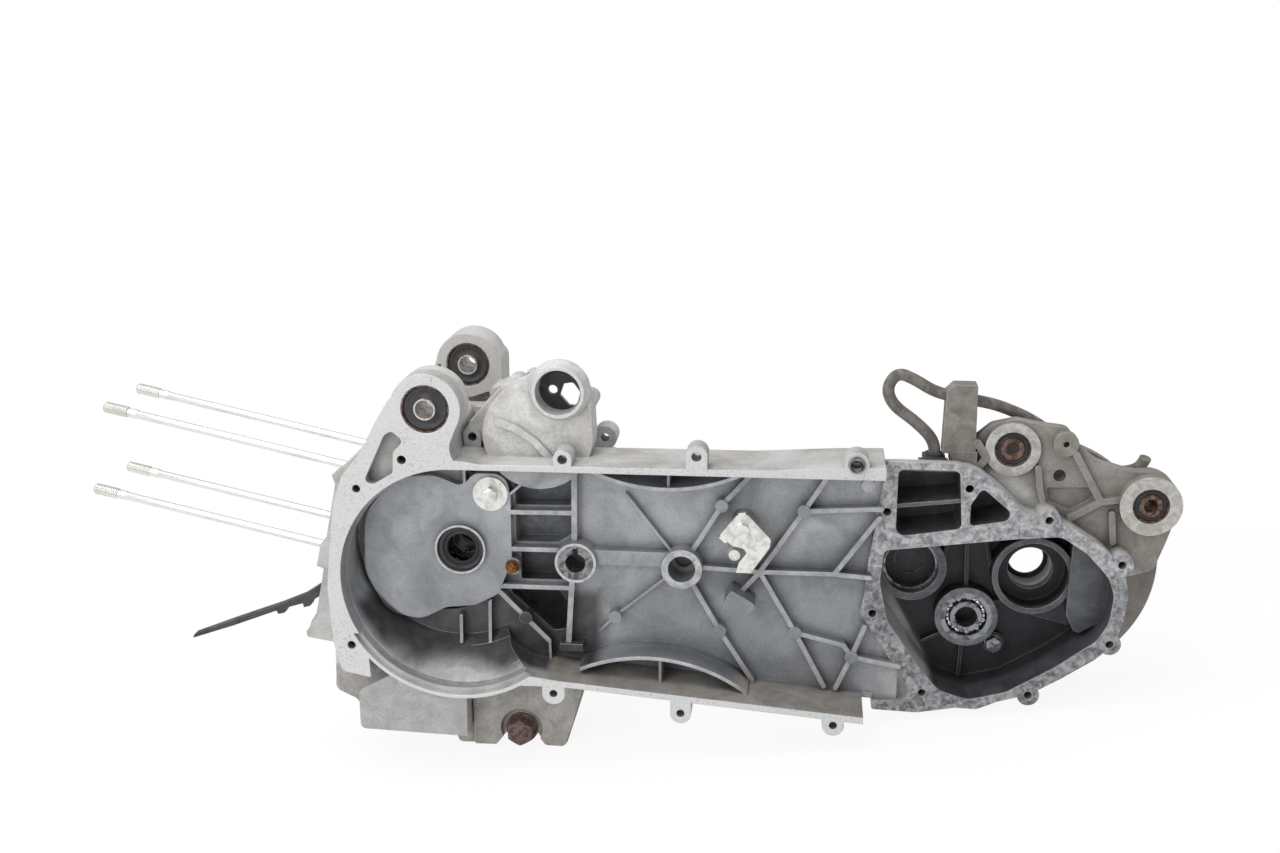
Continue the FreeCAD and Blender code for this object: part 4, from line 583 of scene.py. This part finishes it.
def lathe(profile: Sequence[Corner], segments: int = 72, closed: bool = False) -> bmesh.types.BMesh:
    """Turns a profile about local Z.

    Args:
        profile: Pairs of radius and height, in millimetres.
        segments: Number of steps round the axis.
        closed: True for a ring, whose last point joins its first.

    Returns:
        The mesh, with its faces outwards.
    """
    bm = bmesh.new()
    rows = []
    for radius, height in profile:
        rows.append([bm.verts.new((radius * math.cos(2 * math.pi * k / segments),
                                   radius * math.sin(2 * math.pi * k / segments),
                                   height)) for k in range(segments)])
    pairs = list(zip(rows[:-1], rows[1:]))
    if closed:
        pairs.append((rows[-1], rows[0]))
    for low, high in pairs:
        for k in range(segments):
            bm.faces.new((low[k], low[(k + 1) % segments], high[(k + 1) % segments], high[k]))
    bmesh.ops.remove_doubles(bm, verts=bm.verts, dist=WELD)
    bmesh.ops.recalc_face_normals(bm, faces=bm.faces)
    return bm


def finished(name: str, bm: bmesh.types.BMesh, matrix: Matrix, material: Material,
             crease: float = 32.0) -> bpy.types.Object:
    """Makes an object of a mesh, with its place in its vertices.

    Args:
        name: The piece's name.
        bm: The mesh, which is freed.
        matrix: Carries the mesh to its place.
        material: The finish.
        crease: Edges sharper than this angle, in degrees, stay sharp.

    Returns:
        The object.
    """
    bm.transform(matrix)
    mesh = bpy.data.meshes.new(name)
    bm.to_mesh(mesh)
    bm.free()
    for polygon in mesh.polygons:
        polygon.use_smooth = True
    mesh.set_sharp_from_angle(angle=math.radians(crease))
    mesh.materials.append(material)
    return linked(name, mesh)


def joined(parts: Sequence[bmesh.types.BMesh]) -> bmesh.types.BMesh:
    """One mesh out of several, which are freed."""
    whole = bmesh.new()
    for part in parts:
        keep = bpy.data.meshes.new("part")
        part.to_mesh(keep)
        part.free()
        whole.from_mesh(keep)
        bpy.data.meshes.remove(keep)
    return whole


def settle(piece: bpy.types.Object, replaced: Sequence[str] = (), body: str = "case") -> None:
    """Rides a piece on its body and the nodes that it stands for.

    Args:
        piece: The finished piece.
        replaced: The CAD nodes that it replaces.
        body: The body that it rides on.
    """
    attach(piece, body)
    if replaced:
        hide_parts(*replaced)
    LOG.info("made %s with %d faces", piece.name, len(piece.data.polygons) if piece.type == "MESH" else 0)


def geometry_group(name: str, inputs: Sequence[tuple[str, str, object]]) -> tuple[Tree, dict[str, object]]:
    """Starts a geometry node group.

    Args:
        name: The group's name.
        inputs: Name, socket type and value of every input beside the geometry.

    Returns:
        The group, and the inputs' values by identifier.
    """
    tree = bpy.data.node_groups.new(name, "GeometryNodeTree")
    tree.interface.new_socket("Geometry", in_out="INPUT", socket_type="NodeSocketGeometry")
    values = {}
    for label, kind, value in inputs:
        socket = tree.interface.new_socket(label, in_out="INPUT", socket_type=kind)
        values[socket.identifier] = value
    tree.interface.new_socket("Geometry", in_out="OUTPUT", socket_type="NodeSocketGeometry")
    return tree, values


def close_group(tree: Tree, geometry: Node, finish: Socket) -> None:
    """Makes the group's instances real, gives them their finish and leads them out.

    Args:
        tree: The group.
        geometry: The node with its result.
        finish: The input with the material.
    """
    real = add_node(tree, "GeometryNodeRealizeInstances", {"Geometry": geometry})
    dressed = add_node(tree, "GeometryNodeSetMaterial", {"Geometry": real, "Material": finish})
    add_node(tree, "NodeGroupOutput", {"Geometry": dressed})


def grown(tree: Tree, base: bpy.types.Mesh, values: dict[str, object]) -> bpy.types.Mesh:
    """Runs a node group on a mesh and returns the result as a plain mesh.

    Args:
        tree: The node group.
        base: The mesh that it starts from.
        values: Socket identifier to value.

    Returns:
        The new mesh.
    """
    carrier = linked("carrier", base)
    modifier = carrier.modifiers.new("grow", "NODES")
    modifier.node_group = tree
    for identifier, value in values.items():
        modifier[identifier] = value
    bpy.context.view_layer.update()
    evaluated = carrier.evaluated_get(bpy.context.evaluated_depsgraph_get())
    mesh = bpy.data.meshes.new_from_object(evaluated)
    bpy.data.objects.remove(carrier)
    return mesh


@dataclass(frozen=True)
class RolledThread:
    """A rolled screw thread with a chamfered tip, grown by a node group along local Z."""

    radius: float
    length: float
    pitch: float = 1.25
    depth: float = 0.55
    chamfer: float = 1.0
    segments: int = 36
    steps_per_turn: int = 5

    def group(self, material: Material) -> tuple[Tree, dict[str, object]]:
        """Node group of the thread.

        Args:
            material: The thread's finish.

        Returns:
            The group, and its inputs' values by identifier.
        """
        rings = int(self.length / self.pitch * self.steps_per_turn) + 1
        inputs = [("Radius", "NodeSocketFloat", self.radius), ("Depth", "NodeSocketFloat", self.depth),
                  ("Pitch", "NodeSocketFloat", self.pitch), ("Length", "NodeSocketFloat", self.length),
                  ("Chamfer", "NodeSocketFloat", self.chamfer), ("Rings", "NodeSocketInt", rings),
                  ("Segments", "NodeSocketInt", self.segments + 1),
                  ("Finish", "NodeSocketMaterial", material)]
        tree, values = geometry_group("rolled_thread", inputs)
        given = add_node(tree, "NodeGroupInput").outputs
        grid = add_node(tree, "GeometryNodeMeshGrid", {"Size X": 1.0, "Size Y": 1.0,
                                                       "Vertices X": given["Rings"],
                                                       "Vertices Y": given["Segments"]})
        spot = add_node(tree, "ShaderNodeSeparateXYZ", {0: add_node(tree, "GeometryNodeInputPosition")})
        share = maths(tree, "ADD", spot.outputs["X"], 0.5)
        along = maths(tree, "MULTIPLY", share, given["Length"])
        round_share = maths(tree, "ADD", spot.outputs["Y"], 0.5)
        angle = maths(tree, "MULTIPLY", round_share, 2 * math.pi)
        phase = maths(tree, "DIVIDE", along, given["Pitch"])
        phase = maths(tree, "ADD", phase, round_share)
        flank = maths(tree, "PINGPONG", phase, 0.5)
        sunk = maths(tree, "MULTIPLY", flank, 2.0)
        sunk = maths(tree, "MULTIPLY", sunk, given["Depth"])
        radius = maths(tree, "SUBTRACT", given["Radius"], sunk)
        left = maths(tree, "SUBTRACT", given["Length"], along)
        tip = maths(tree, "ADD", left, given["Radius"])
        tip = maths(tree, "SUBTRACT", tip, given["Chamfer"])
        radius = maths(tree, "MINIMUM", radius, tip)
        x = maths(tree, "MULTIPLY", radius, maths(tree, "COSINE", angle))
        y = maths(tree, "MULTIPLY", radius, maths(tree, "SINE", angle))
        position = add_node(tree, "ShaderNodeCombineXYZ", {0: x, 1: y, 2: along})
        bent = add_node(tree, "GeometryNodeSetPosition", {"Geometry": grid, "Position": position})
        sewn = add_node(tree, "GeometryNodeMergeByDistance", {"Geometry": bent, "Distance": 0.001})
        close_group(tree, sewn, given["Finish"])
        return tree, values

    def mesh(self, material: Material) -> bmesh.types.BMesh:
        """Grows the thread and closes its ends.

        Args:
            material: The thread's finish.

        Returns:
            The mesh, in millimetres.
        """
        tree, values = self.group(material)
        mesh = grown(tree, bpy.data.meshes.new("start"), values)
        bm = bmesh.new()
        bm.from_mesh(mesh)
        bpy.data.meshes.remove(mesh)
        bmesh.ops.remove_doubles(bm, verts=bm.verts, dist=1e-3)
        bmesh.ops.holes_fill(bm, edges=bm.edges, sides=0)
        bmesh.ops.recalc_face_normals(bm, faces=bm.faces)
        return bm


@dataclass(frozen=True)
class CylinderStuds:
    """Four studs that carry the cylinder, zinc plated, with a rolled thread at the tip."""

    start: float = 72.0
    tip: float = 270.0
    thread: float = 17.0
    seat: float = 22.0
    radius: float = 4.0
    shank: float = 2.8
    ups: Corner = (31.0, -31.0)
    depths: Corner = (56.0, 110.0)

    def build(self, material: Material) -> None:
        """Makes the studs in place of the plain bars.

        Args:
            material: The plating.
        """
        length = self.tip - self.start
        root = length - self.thread
        for side, y in zip(("left", "right"), self.depths):
            for level, up in zip(("upper", "lower"), self.ups):
                shank = lathe([(0, 0), (3.6, 0), (3.9, 1), (3.9, self.seat - 3), (self.shank, self.seat),
                               (self.shank, root - 8), (3.3, root - 7), (3.3, root - 3),
                               (self.shank + 0.2, root - 2), (self.shank + 0.2, root + 1), (0, root + 1)],
                               36)
                tip = RolledThread(self.radius, self.thread).mesh(material)
                tip.transform(Matrix.Translation((0.0, 0.0, root)))
                x = -self.start * math.cos(CYLINDER_TILT) + up * math.sin(CYLINDER_TILT)
                z = self.start * math.sin(CYLINDER_TILT) + up * math.cos(CYLINDER_TILT)
                node = f"cylinder_stud_{level}_{side}"
                piece = finished(f"threaded_stud_{level}_{side}", joined([shank, tip]),
                                 stand((x, y, z), Facing.CYLINDER), material)
                settle(piece, [node])


@dataclass(frozen=True)
class HexHead:
    """Hexagon screw head with a chamfered top, a flange and a shank."""

    flats: float
    height: float
    shank: float
    shank_length: float
    flange: float = 0.0
    flange_height: float = 0.0
    segments: int = 72

    def mesh(self) -> bmesh.types.BMesh:
        """Makes the head, its seat at local z = 0 and its top towards +Z.

        Returns:
            The mesh, in millimetres.
        """
        bm = bmesh.new()
        top = self.flange_height + self.height
        chamfer_radius = self.flats / 2 * 0.96
        rows: list[list[bmesh.types.BMVert]] = []
        for kind in range(4):
            row = []
            for k in range(self.segments):
                angle = 2 * math.pi * k / self.segments
                around = (angle + math.pi / 6) % (math.pi / 3) - math.pi / 6
                side = self.flats / 2 / math.cos(around)
                fall = max(0.0, side - chamfer_radius) * math.tan(math.radians(30))
                radius, height = [(side, self.flange_height - 0.2), (side, top - fall),
                                  (chamfer_radius, top), (0.0, top)][kind]
                row.append(bm.verts.new((radius * math.cos(angle), radius * math.sin(angle), height)))
            rows.append(row)
        for low, high in zip(rows[:-1], rows[1:]):
            for k in range(self.segments):
                bm.faces.new((low[k], low[(k + 1) % self.segments], high[(k + 1) % self.segments], high[k]))
        bm.faces.new(list(reversed(rows[0])))
        bmesh.ops.remove_doubles(bm, verts=bm.verts, dist=WELD)
        bmesh.ops.recalc_face_normals(bm, faces=bm.faces)
        parts = [bm]
        if self.flange > 0:
            lip = min(0.5, self.flange_height / 3)
            parts.append(lathe([(0.0, 0.0), (self.flange - lip / 2, 0.0), (self.flange, lip),
                                (self.flange, self.flange_height - lip),
                                (self.flange - lip, self.flange_height), (0.0, self.flange_height)],
                                self.segments))
        parts.append(lathe([(0.0, -self.shank_length), (self.shank * 0.8, -self.shank_length),
                            (self.shank, -self.shank_length + 1), (self.shank, 0.5), (0.0, 0.5)], 36))
        return joined(parts)


@dataclass(frozen=True)
class Fasteners:
    """Screws of the case: drain screw, joining screws and the small screws in the bays."""

    drain: Point = (38.5, 40.5, -136)
    washer_screw: Point = (21.5, 32.4, 40)
    tray_screw: Point = (35.5, 34, -12)
    gear_screw: Point = (366.8, 72, -69)
    joining: tuple[Point, ...] = (
        (9.6, 156, 79), (-74, 132, 36), (70, 132, -40), (-76, 132, -104),
        (64, 132, -104), (5, 132, -134))

    def build(self, rust: Material, rough_rust: Material, zinc: Material, steel: Material) -> None:
        """Makes every screw in place of its plain solid.

        Args:
            rust: Finish of the drain screw.
            rough_rust: Finish of the small rusted screw.
            zinc: Finish of the plated screws.
            steel: Finish of the screw in the oily gear bay.
        """
        heads = (
            ("drain_screw_head", "drain_bolt", self.drain, HexHead(17, 9, 7, 14, 11.5, 2), rust,
             "rusty_steel"),
            ("guard_washer_screw", "guard_washer_bolt", self.washer_screw, HexHead(10, 5, 3, 12), zinc,
             "zinc_plated_steel"),
            ("rusted_tray_screw", "tray_screw", self.tray_screw, HexHead(7, 4, 2.5, 12, 5, 1), rough_rust,
             "rusty_steel"),
            ("gear_bay_screw", "gear_bay_bolt", self.gear_screw, HexHead(10, 5, 3, 10, 6.5, 1.5), steel,
             "zinc_plated_steel"),
        )
        for name, node, seat, head, material, slot in heads:
            piece = finished(name, head.mesh(), stand(seat, Facing.LEFT), material)
            settle(piece, [node])
        self.joining_screws(zinc)

    def joining_screws(self, zinc: Material) -> None:
        """Sets one screw, made once, on every seat of the right half.

        Args:
            zinc: The plating.
        """
        head = HexHead(10.0, 4.5, 3.0, 24.0, 6.5, 1.5, 48)
        model = finished("screw_model", head.mesh(), stand((0.0, DATUM_Y, 0.0), Facing.RIGHT), zinc)
        tree, values = geometry_group("screws_on_seats",
                                      [("Screw", "NodeSocketObject", model),
                                       ("Finish", "NodeSocketMaterial", zinc)])
        given = add_node(tree, "NodeGroupInput").outputs
        screw = add_node(tree, "GeometryNodeObjectInfo", {"Object": given["Screw"]})
        points = add_node(tree, "GeometryNodeMeshToPoints", {"Mesh": given["Geometry"]})
        spread = add_node(tree, "GeometryNodeInstanceOnPoints",
                          {"Points": points, "Instance": screw.outputs["Geometry"]})
        close_group(tree, spread, given["Finish"])
        seats = bpy.data.meshes.new("seats")
        seats.from_pydata([placed(*point) for point in self.joining], [], [])
        mesh = grown(tree, seats, values)
        bpy.data.objects.remove(model)
        mesh.name = "joining_screws"
        settle(linked("joining_screws", mesh), ["case_bolts"])


@dataclass(frozen=True)
class RubberBush:
    """Moulded rubber between two steel sleeves, dished between its lips."""

    name: str
    node: str
    centre: Corner
    near: float
    far: float
    outer: float
    inner: float
    dish: float = 1.6

    def build(self, rubber: Material) -> None:
        """Makes the rubber in place of the plain ring.

        Args:
            rubber: The rubber.
        """
        width = self.far - self.near
        span = self.outer - self.inner
        face = [(self.outer, 0.9), (self.outer - span * 0.12, 0.1), (self.outer - span * 0.3, 0.35),
                (self.outer - span * 0.5, self.dish), (self.outer - span * 0.7, self.dish * 0.8),
                (self.outer - span * 0.86, 0.3), (self.inner, 0.0)]
        far_face = [(radius, width - height) for radius, height in reversed(face)]
        bm = lathe(face + far_face, 96, True)
        place = stand((self.centre[0], self.near, self.centre[1]), Facing.RIGHT)
        settle(finished(self.name, bm, place, rubber, 60.0), [self.node])


@dataclass(frozen=True)
class BallSet:
    """Balls of a bearing in their thin pressed cage."""

    name: str
    node: str
    body: str
    centre: Point
    pitch: float
    ball: float
    count: int
    ribbon: float = 0.8

    def build(self, steel: Material) -> None:
        """Makes the balls and the cage in place of the plain solid.

        Args:
            steel: The bearing steel.
        """
        profile = [(self.pitch - self.ribbon, -1.2), (self.pitch + self.ribbon, -1.2),
                   (self.pitch + self.ribbon, 1.2), (self.pitch - self.ribbon, 1.2)]
        parts = [lathe(profile, 96, True)]
        for k in range(self.count):
            angle = 2 * math.pi * k / self.count
            ball = bmesh.new()
            place = Matrix.Translation((self.pitch * math.cos(angle), self.pitch * math.sin(angle), 0.0))
            bmesh.ops.create_uvsphere(ball, u_segments=24, v_segments=16, radius=self.ball, matrix=place)
            parts.append(ball)
        piece = finished(self.name, joined(parts), stand(self.centre, Facing.RIGHT), steel)
        settle(piece, [self.node], self.body)


@dataclass(frozen=True)
class ShaftSeals:
    """Lip seals of the crankshaft and the wheel axle."""

    crank: Point = (0.0, 32.5, 0.0)
    axle: Point = (389.0, 96.0, -14.5)

    def build(self, rubber: Material) -> None:
        """Makes both seals in place of the plain rings.

        Args:
            rubber: The rubber of the lips.
        """
        crank = [(16.2, 0.6), (15.6, 0), (13.6, 0), (12.8, 0.9), (12.2, 2.4), (10.6, 1.4), (9.9, 1.9),
                 (9.8, 2.6), (10.4, 4.2), (11.6, 5.2), (12.2, 6.6), (13, 7), (16.2, 7)]
        self.seal("crank_seal_lips", crank, stand(self.crank, Facing.RIGHT), "crank_oil_seal", rubber)
        axle = [(21, 0.6), (20.4, 0), (18, 0), (17, 1), (15, 3), (12.6, 1.6), (12, 2.4), (12.2, 3.6),
                (13.8, 5.4), (16.2, 7.4), (17, 8), (21, 8)]
        self.seal("axle_seal_lips", axle, stand(self.axle, Facing.RIGHT), "axle_oil_seal", rubber)

    def seal(self, name: str, profile: Sequence[Corner], matrix: Matrix, node: str,
             rubber: Material) -> None:
        """Turns one seal from its profile.

        Args:
            name: The piece's name.
            profile: Pairs of radius and depth.
            matrix: Carries the seal to its place.
            node: The CAD node that it replaces.
            rubber: The rubber.
        """
        settle(finished(name, lathe(profile, 96, True), matrix, rubber, 50.0), [node])


@dataclass(frozen=True)
class BreatherHose:
    """Rubber breather hose that loops up from its grommet, lies over the post and ends behind the bracket."""

    diameter: float = 8.0
    length: float = 259.0
    route: tuple[Point, ...] = (
        (318.5, 60, 71.5), (318.5, 60, 79), (305, 61, 92), (290, 62, 102), (285, 62, 114), (292, 62, 125),
        (304, 62, 120), (317, 62, 112), (334, 62, 108.5), (350, 67, 105), (363, 75, 100), (383, 79, 91),
        (403, 80, 77), (422, 80, 62), (436, 80, 56), (449, 80, 55.5), (458, 79, 60), (459.5, 77, 66.5))

    def build(self, rubber: Material) -> None:
        """Makes the hose as one smooth line, in place of the plain tube.

        Args:
            rubber: The hose's rubber.
        """
        curve = bpy.data.curves.new("breather_hose_line", "CURVE")
        curve.dimensions = "3D"
        curve.bevel_depth = self.diameter / 2 * MM
        curve.bevel_resolution = 6
        curve.resolution_u = 10
        curve.use_fill_caps = True
        spline = curve.splines.new("NURBS")
        spline.points.add(len(self.route) - 1)
        for point, spot in zip(spline.points, self.route):
            point.co = (*placed(*spot), 1.0)
        spline.order_u = 3
        spline.use_endpoint_u = True
        curve.materials.append(rubber)
        piece = linked("breather_hose_rubber", curve)
        settle(piece, ["breather_hose"])


@dataclass(frozen=True)
class Grommet:
    """Moulded grommet that the hose plugs into: a soft-edged block with a ribbed neck."""

    centre: Point = (318.5, 60, 65)
    width: float = 19
    depth: float = 15
    height: float = 4
    neck: float = 6.5

    def build(self, rubber: Material) -> None:
        """Makes the grommet in place of the plain block.

        Args:
            rubber: The rubber.
        """
        block = bmesh.new()
        bmesh.ops.create_cube(block, size=1.0)
        sized = Matrix.Diagonal((self.depth, self.width, self.height, 1.0))
        block.transform(Matrix.Translation((0.0, 0.0, self.height / 2)) @ sized)
        bmesh.ops.bevel(block, geom=list(block.edges), offset=1.2, segments=4, affect="EDGES", profile=0.5)
        neck = lathe([(0.0, 1.0), (self.neck, 1.0), (self.neck, 4.2), (self.neck - 0.9, 4.6),
                      (self.neck - 0.9, 5.2), (self.neck - 0.2, 5.6), (self.neck - 0.4, 6.2),
                      (self.neck - 1.0, 6.5), (0.0, 6.5)], 48)
        place = stand(self.centre, Facing.UP)
        settle(finished("moulded_grommet", joined([block, neck]), place, rubber, 40.0),
               ["breather_grommet"])


@dataclass(frozen=True)
class Studio:
    """White table, pale backdrop, soft lamps and the camera at the photograph's angle."""

    eye: Point = (227.63, -917.24, 355.55)
    pitch: float = 15.5
    yaw: float = 6.25
    focal_pixels: float = 1500.0
    table_side: float = 2.0
    table_depth: float = 3.0
    room_strength: float = 0.62
    aim: Point = (0.15, 0.0, 0.0)

    def directions(self) -> tuple[Vector, Vector, Vector]:
        """Right, up and forward directions of the camera in the row frame."""
        pitch, yaw = math.radians(self.pitch), math.radians(self.yaw)
        forward = Vector((-math.sin(yaw) * math.cos(pitch), math.cos(yaw) * math.cos(pitch),
                          -math.sin(pitch)))
        right = Vector((math.cos(yaw), math.sin(yaw), 0.0))
        up = right.cross(forward)
        return turned(*right), turned(*up), turned(*forward)

    def camera(self) -> None:
        """Sets the camera."""
        right, up, forward = self.directions()
        data = bpy.data.cameras.new("photo_camera")
        data.sensor_width = SENSOR_WIDTH
        data.lens = SENSOR_WIDTH * self.focal_pixels / IMAGE_WIDTH
        data.clip_start = 0.01
        data.clip_end = 20.0
        camera = linked("photo_camera", data)
        turn = Matrix((right, up, -forward)).transposed().to_4x4()
        camera.matrix_world = Matrix.Translation(placed(*self.eye)) @ turn
        bpy.context.scene.camera = camera

    def on_floor(self, pixel: Corner, level: float) -> Vector:
        """Point of the floor that the photograph shows at a pixel.

        Args:
            pixel: The place in the 1280 by 853 frame.
            level: The floor's height, in metres.

        Returns:
            The point in the row frame.
        """
        right, up, forward = self.directions()
        ray = (forward + right * ((pixel[0] - IMAGE_WIDTH / 2) / self.focal_pixels)
               - up * ((pixel[1] - IMAGE_HEIGHT / 2) / self.focal_pixels))
        eye = placed(*self.eye)
        return eye + ray * ((level - eye.z) / ray.z)

    def white(self, name: str, code: str, strength: float) -> Material:
        """Matt white paint that looks white to the camera and to bright metal.

        Args:
            name: The material's name.
            code: The paint's colour.
            strength: How much of the shown white comes from the paint's own brightness.

        Returns:
            The material.
        """
        material = blank_material(name)
        tree = material.node_tree
        paint = add_node(tree, "ShaderNodeBsdfDiffuse", {"Color": linear(code)})
        glow = add_node(tree, "ShaderNodeEmission", {"Color": linear("#ffffff"), "Strength": 1.0})
        seen = seen_by(tree, "Is Camera Ray", "Is Glossy Ray", "Is Transmission Ray")
        share = maths(tree, "MULTIPLY", seen, strength)
        mixed = add_node(tree, "ShaderNodeMixShader", {0: share, 1: paint, 2: glow})
        add_node(tree, "ShaderNodeOutputMaterial", {"Surface": mixed})
        return material

    def floor(self, level: float) -> None:
        """Lays the table, whose far edge shows faintly behind the engine.

        Args:
            level: The height that the engine stands at, in metres.
        """
        far_left = self.on_floor((0.0, 612.0), level)
        far_right = self.on_floor((IMAGE_WIDTH, 525.0), level)
        along = (far_right - far_left).normalized()
        back_left = far_left - along * self.table_side
        back_right = far_right + along * self.table_side
        reach = Vector((along.y, -along.x, 0.0)) * self.table_depth
        mesh = bpy.data.meshes.new("white_table")
        mesh.from_pydata([back_left, back_right, back_right + reach, back_left + reach], [], [(3, 2, 1, 0)])
        table = linked("white_table", mesh)
        table.data.materials.append(self.white("matt_white_table", "#f6f6f5", 0.9))
        table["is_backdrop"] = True

    def lamp(self, name: str, place: Point, size: float, watts: float) -> None:
        """Hangs a soft square lamp.

        Args:
            name: The lamp's name.
            place: Its place in the row frame, in metres.
            size: The side of the square, in metres.
            watts: Its power.
        """
        data = bpy.data.lights.new(name, "AREA")
        data.shape = "SQUARE"
        data.size = size
        data.energy = watts
        lamp = linked(name, data)
        lamp.location = place
        lamp.rotation_euler = (Vector(self.aim) - Vector(place)).to_track_quat("-Z", "Y").to_euler()

    def world(self) -> None:
        """Pale surroundings, full white where camera rays and transmission rays see them."""
        world = bpy.data.worlds.new("pale_room")
        world.use_nodes = True
        tree = world.node_tree
        tree.nodes.clear()
        room = add_node(tree, "ShaderNodeBackground", {"Color": linear("#ffffff"),
                                                       "Strength": self.room_strength})
        white = add_node(tree, "ShaderNodeBackground", {"Color": linear("#ffffff"), "Strength": 1.0})
        seen = seen_by(tree, "Is Camera Ray", "Is Transmission Ray")
        mixed = add_node(tree, "ShaderNodeMixShader", {0: seen, 1: room, 2: white})
        add_node(tree, "ShaderNodeOutputWorld", {"Surface": mixed})
        bpy.context.scene.world = world

    def build(self, level: float) -> None:
        """Sets up the whole studio.

        Args:
            level: The height that the engine stands at, in metres.
        """
        self.camera()
        self.floor(level)
        self.world()
        self.lamp("ceiling_softbox", (-0.15, -0.25, 1.35), 1.1, 14.0)
        self.lamp("front_softbox", (-0.5, -1.4, 0.75), 0.9, 9.5)
        bpy.context.scene.view_settings.view_transform = "Standard"


@dataclass(frozen=True)
class Finishes:
    """Finishes of everything but the castings."""

    rubber: Finish = Finish("black_rubber", "#36373c", "#34302e", 0.4, 5, 0.5, 0.1, 0, 0.5)
    # old hose rubber: faded brown-grey with a dusty sheen
    hose: Finish = Finish("aged_hose_rubber", "#6f6a65", "#57524d", 0.5, 9, 0.7, 0.12, 0, 0.6, 0.15)
    # the darkening in hollows set in these finishes is painted shade
    zinc: Finish = Finish("zinc_plated_steel", "#e9eae6", "#d0d0c8", 0.4, 7, 0.5, 0.05, 0.85, 0.3, hollow_darkening=0.5)
    studs: Finish = Finish("bright_zinc_studs", "#e8e7e3", "#dddcd6", 0.3, 30, 0.6, 0.01, 0.9, 0.3)
    steel: Finish = Finish("ground_bearing_steel", "#8e9093", "#5a5b5e", 0.4, 5, 0.5, 0.05, 0.9, 0.26,
                           hollow_darkening=0.6, hollow_shade_colour="#161514")
    balls: Finish = Finish("polished_bearing_balls", "#c3c4c6", "#8d8e90", 0.35, 5, 0.5, 0.02, 0.95, 0.16)
    rust: Finish = Finish("rusted_drain_screw", "#74605a", "#55443f", 0.5, 3.5, 0.7, 0.5, 0.15, 0.75,
                          hollow_darkening=0.5)
    orange_rust: Finish = Finish("rusted_small_screw", "#8a5227", "#4a3020", 0.45, 2, 0.5, 0.5, 0.1, 0.8,
                                 hollow_darkening=0.4)
    sleeve: Finish = Finish("rusty_sleeve_steel", "#7b6a5c", "#4b3a30", 0.55, 2.6, 0.5, 0.3, 0.5, 0.6)
    inner: Finish = Finish("worn_sleeve_steel", "#c9c6c2", "#948a80", 0.35, 3.5, 0.5, 0.12, 0.75, 0.4)
    eye_sleeve: Finish = Finish("rust_brown_sleeve_steel", "#7a6153", "#4a3a32", 0.5, 3, 0.5, 0.25, 0.4,
                                0.55)
    paper: Finish = Finish("gasket_paper", "#5c5750", "#4a4640", 0.5, 5, 0.8, 0.2, 0, 0.85)
    nylon: Finish = Finish("dark_guide_nylon", "#3d3d40", "#2e2e30", 0.4, 14, 0.8, 0.08, 0, 0.42)

    def dress(self) -> dict[str, Material]:
        """Builds every finish and gives it to the CAD nodes that keep their shape.

        Returns:
            The materials by field name.
        """
        made = {name: getattr(self, name).build() for name in self.__dataclass_fields__}
        sleeves = ["hanger_bush_left", "hanger_bush_right", "rear_eye_front", "rear_eye_rear"]
        dress_nodes(made["sleeve"], [name + "_outer_sleeve" for name in sleeves])
        dress_nodes(made["inner"], [name + "_inner_sleeve" for name in sleeves[:2]])
        dress_nodes(made["eye_sleeve"], [name + "_inner_sleeve" for name in sleeves[2:]])
        bearings = [f"{line}_bearing_{part}" for line in ("left_main", "right_main",
                                                          "middle") for part in ("outer_race", "inner_race")]
        dress_nodes(made["steel"], bearings + ["primary_bearing_ring", "kick_shaft_bush", "chain_guide_pin",
                                               "cover_dowel"])
        dress_nodes(made["zinc"], ["guard_washer", "stop_plate", "stop_plate_screw", "stop_pin",
                                   "drain_washer"])
        dress_nodes(made["sleeve"], ["brake_anchor_pin"])
        dress_nodes(made["paper"], ["crankcase_gasket"])
        dress_nodes(made["nylon"], ["chain_guide"])
        return made


def ball_sets() -> list[BallSet]:
    """The balls of the three ball bearings."""
    return [
        BallSet("left_main_balls", "left_main_bearing_cage", "left_main_cage", (0, 61, 0), 16.75, 3.9, 8),
        BallSet("right_main_balls", "right_main_bearing_cage", "right_main_cage", (0, 121.5, 0), 18, 4.7, 8),
        BallSet("middle_balls", "middle_bearing_cage", "middle_cage", (346.5, 69.5, -47.8), 12.5, 2.9, 11),
    ]


def bushes() -> list[RubberBush]:
    """The rubbers of the hanger bushes and the rear eyes."""
    return [
        RubberBush("hanger_rubber_left", "hanger_bush_left_rubber", (-13, 107), 1, 25, 14.8, 7.2),
        RubberBush("hanger_rubber_right", "hanger_bush_right_rubber", (-13, 107), 129, 155, 14.8, 7.2),
        RubberBush("front_eye_rubber", "rear_eye_front_rubber", (369, 76), 57, 67, 10.8, 7.6, 0.8),
        RubberBush("rear_eye_rubber_ring", "rear_eye_rear_rubber", (460, 41), 53, 73, 10.8, 7.6, 0.8),
    ]


def main() -> None:
    """Builds the scene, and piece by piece."""
    logging.basicConfig(level=logging.INFO, format="%(name)s: %(message)s")
    cad_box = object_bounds()
    level = cad_box[0][2]
    Studio().build(level)
    made = Finishes().dress()
    BreatherHose().build(made["hose"])
    Castings().dress()
    CylinderStuds().build(made["studs"])
    Fasteners().build(made["rust"], made["orange_rust"], made["zinc"], made["steel"])
    for bush in bushes():
        bush.build(made["rubber"])
    for balls in ball_sets():
        balls.build(made["balls"])
    ShaftSeals().build(made["rubber"])
    Grommet().build(made["rubber"])
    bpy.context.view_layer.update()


if __name__ == "__main__":
    main()
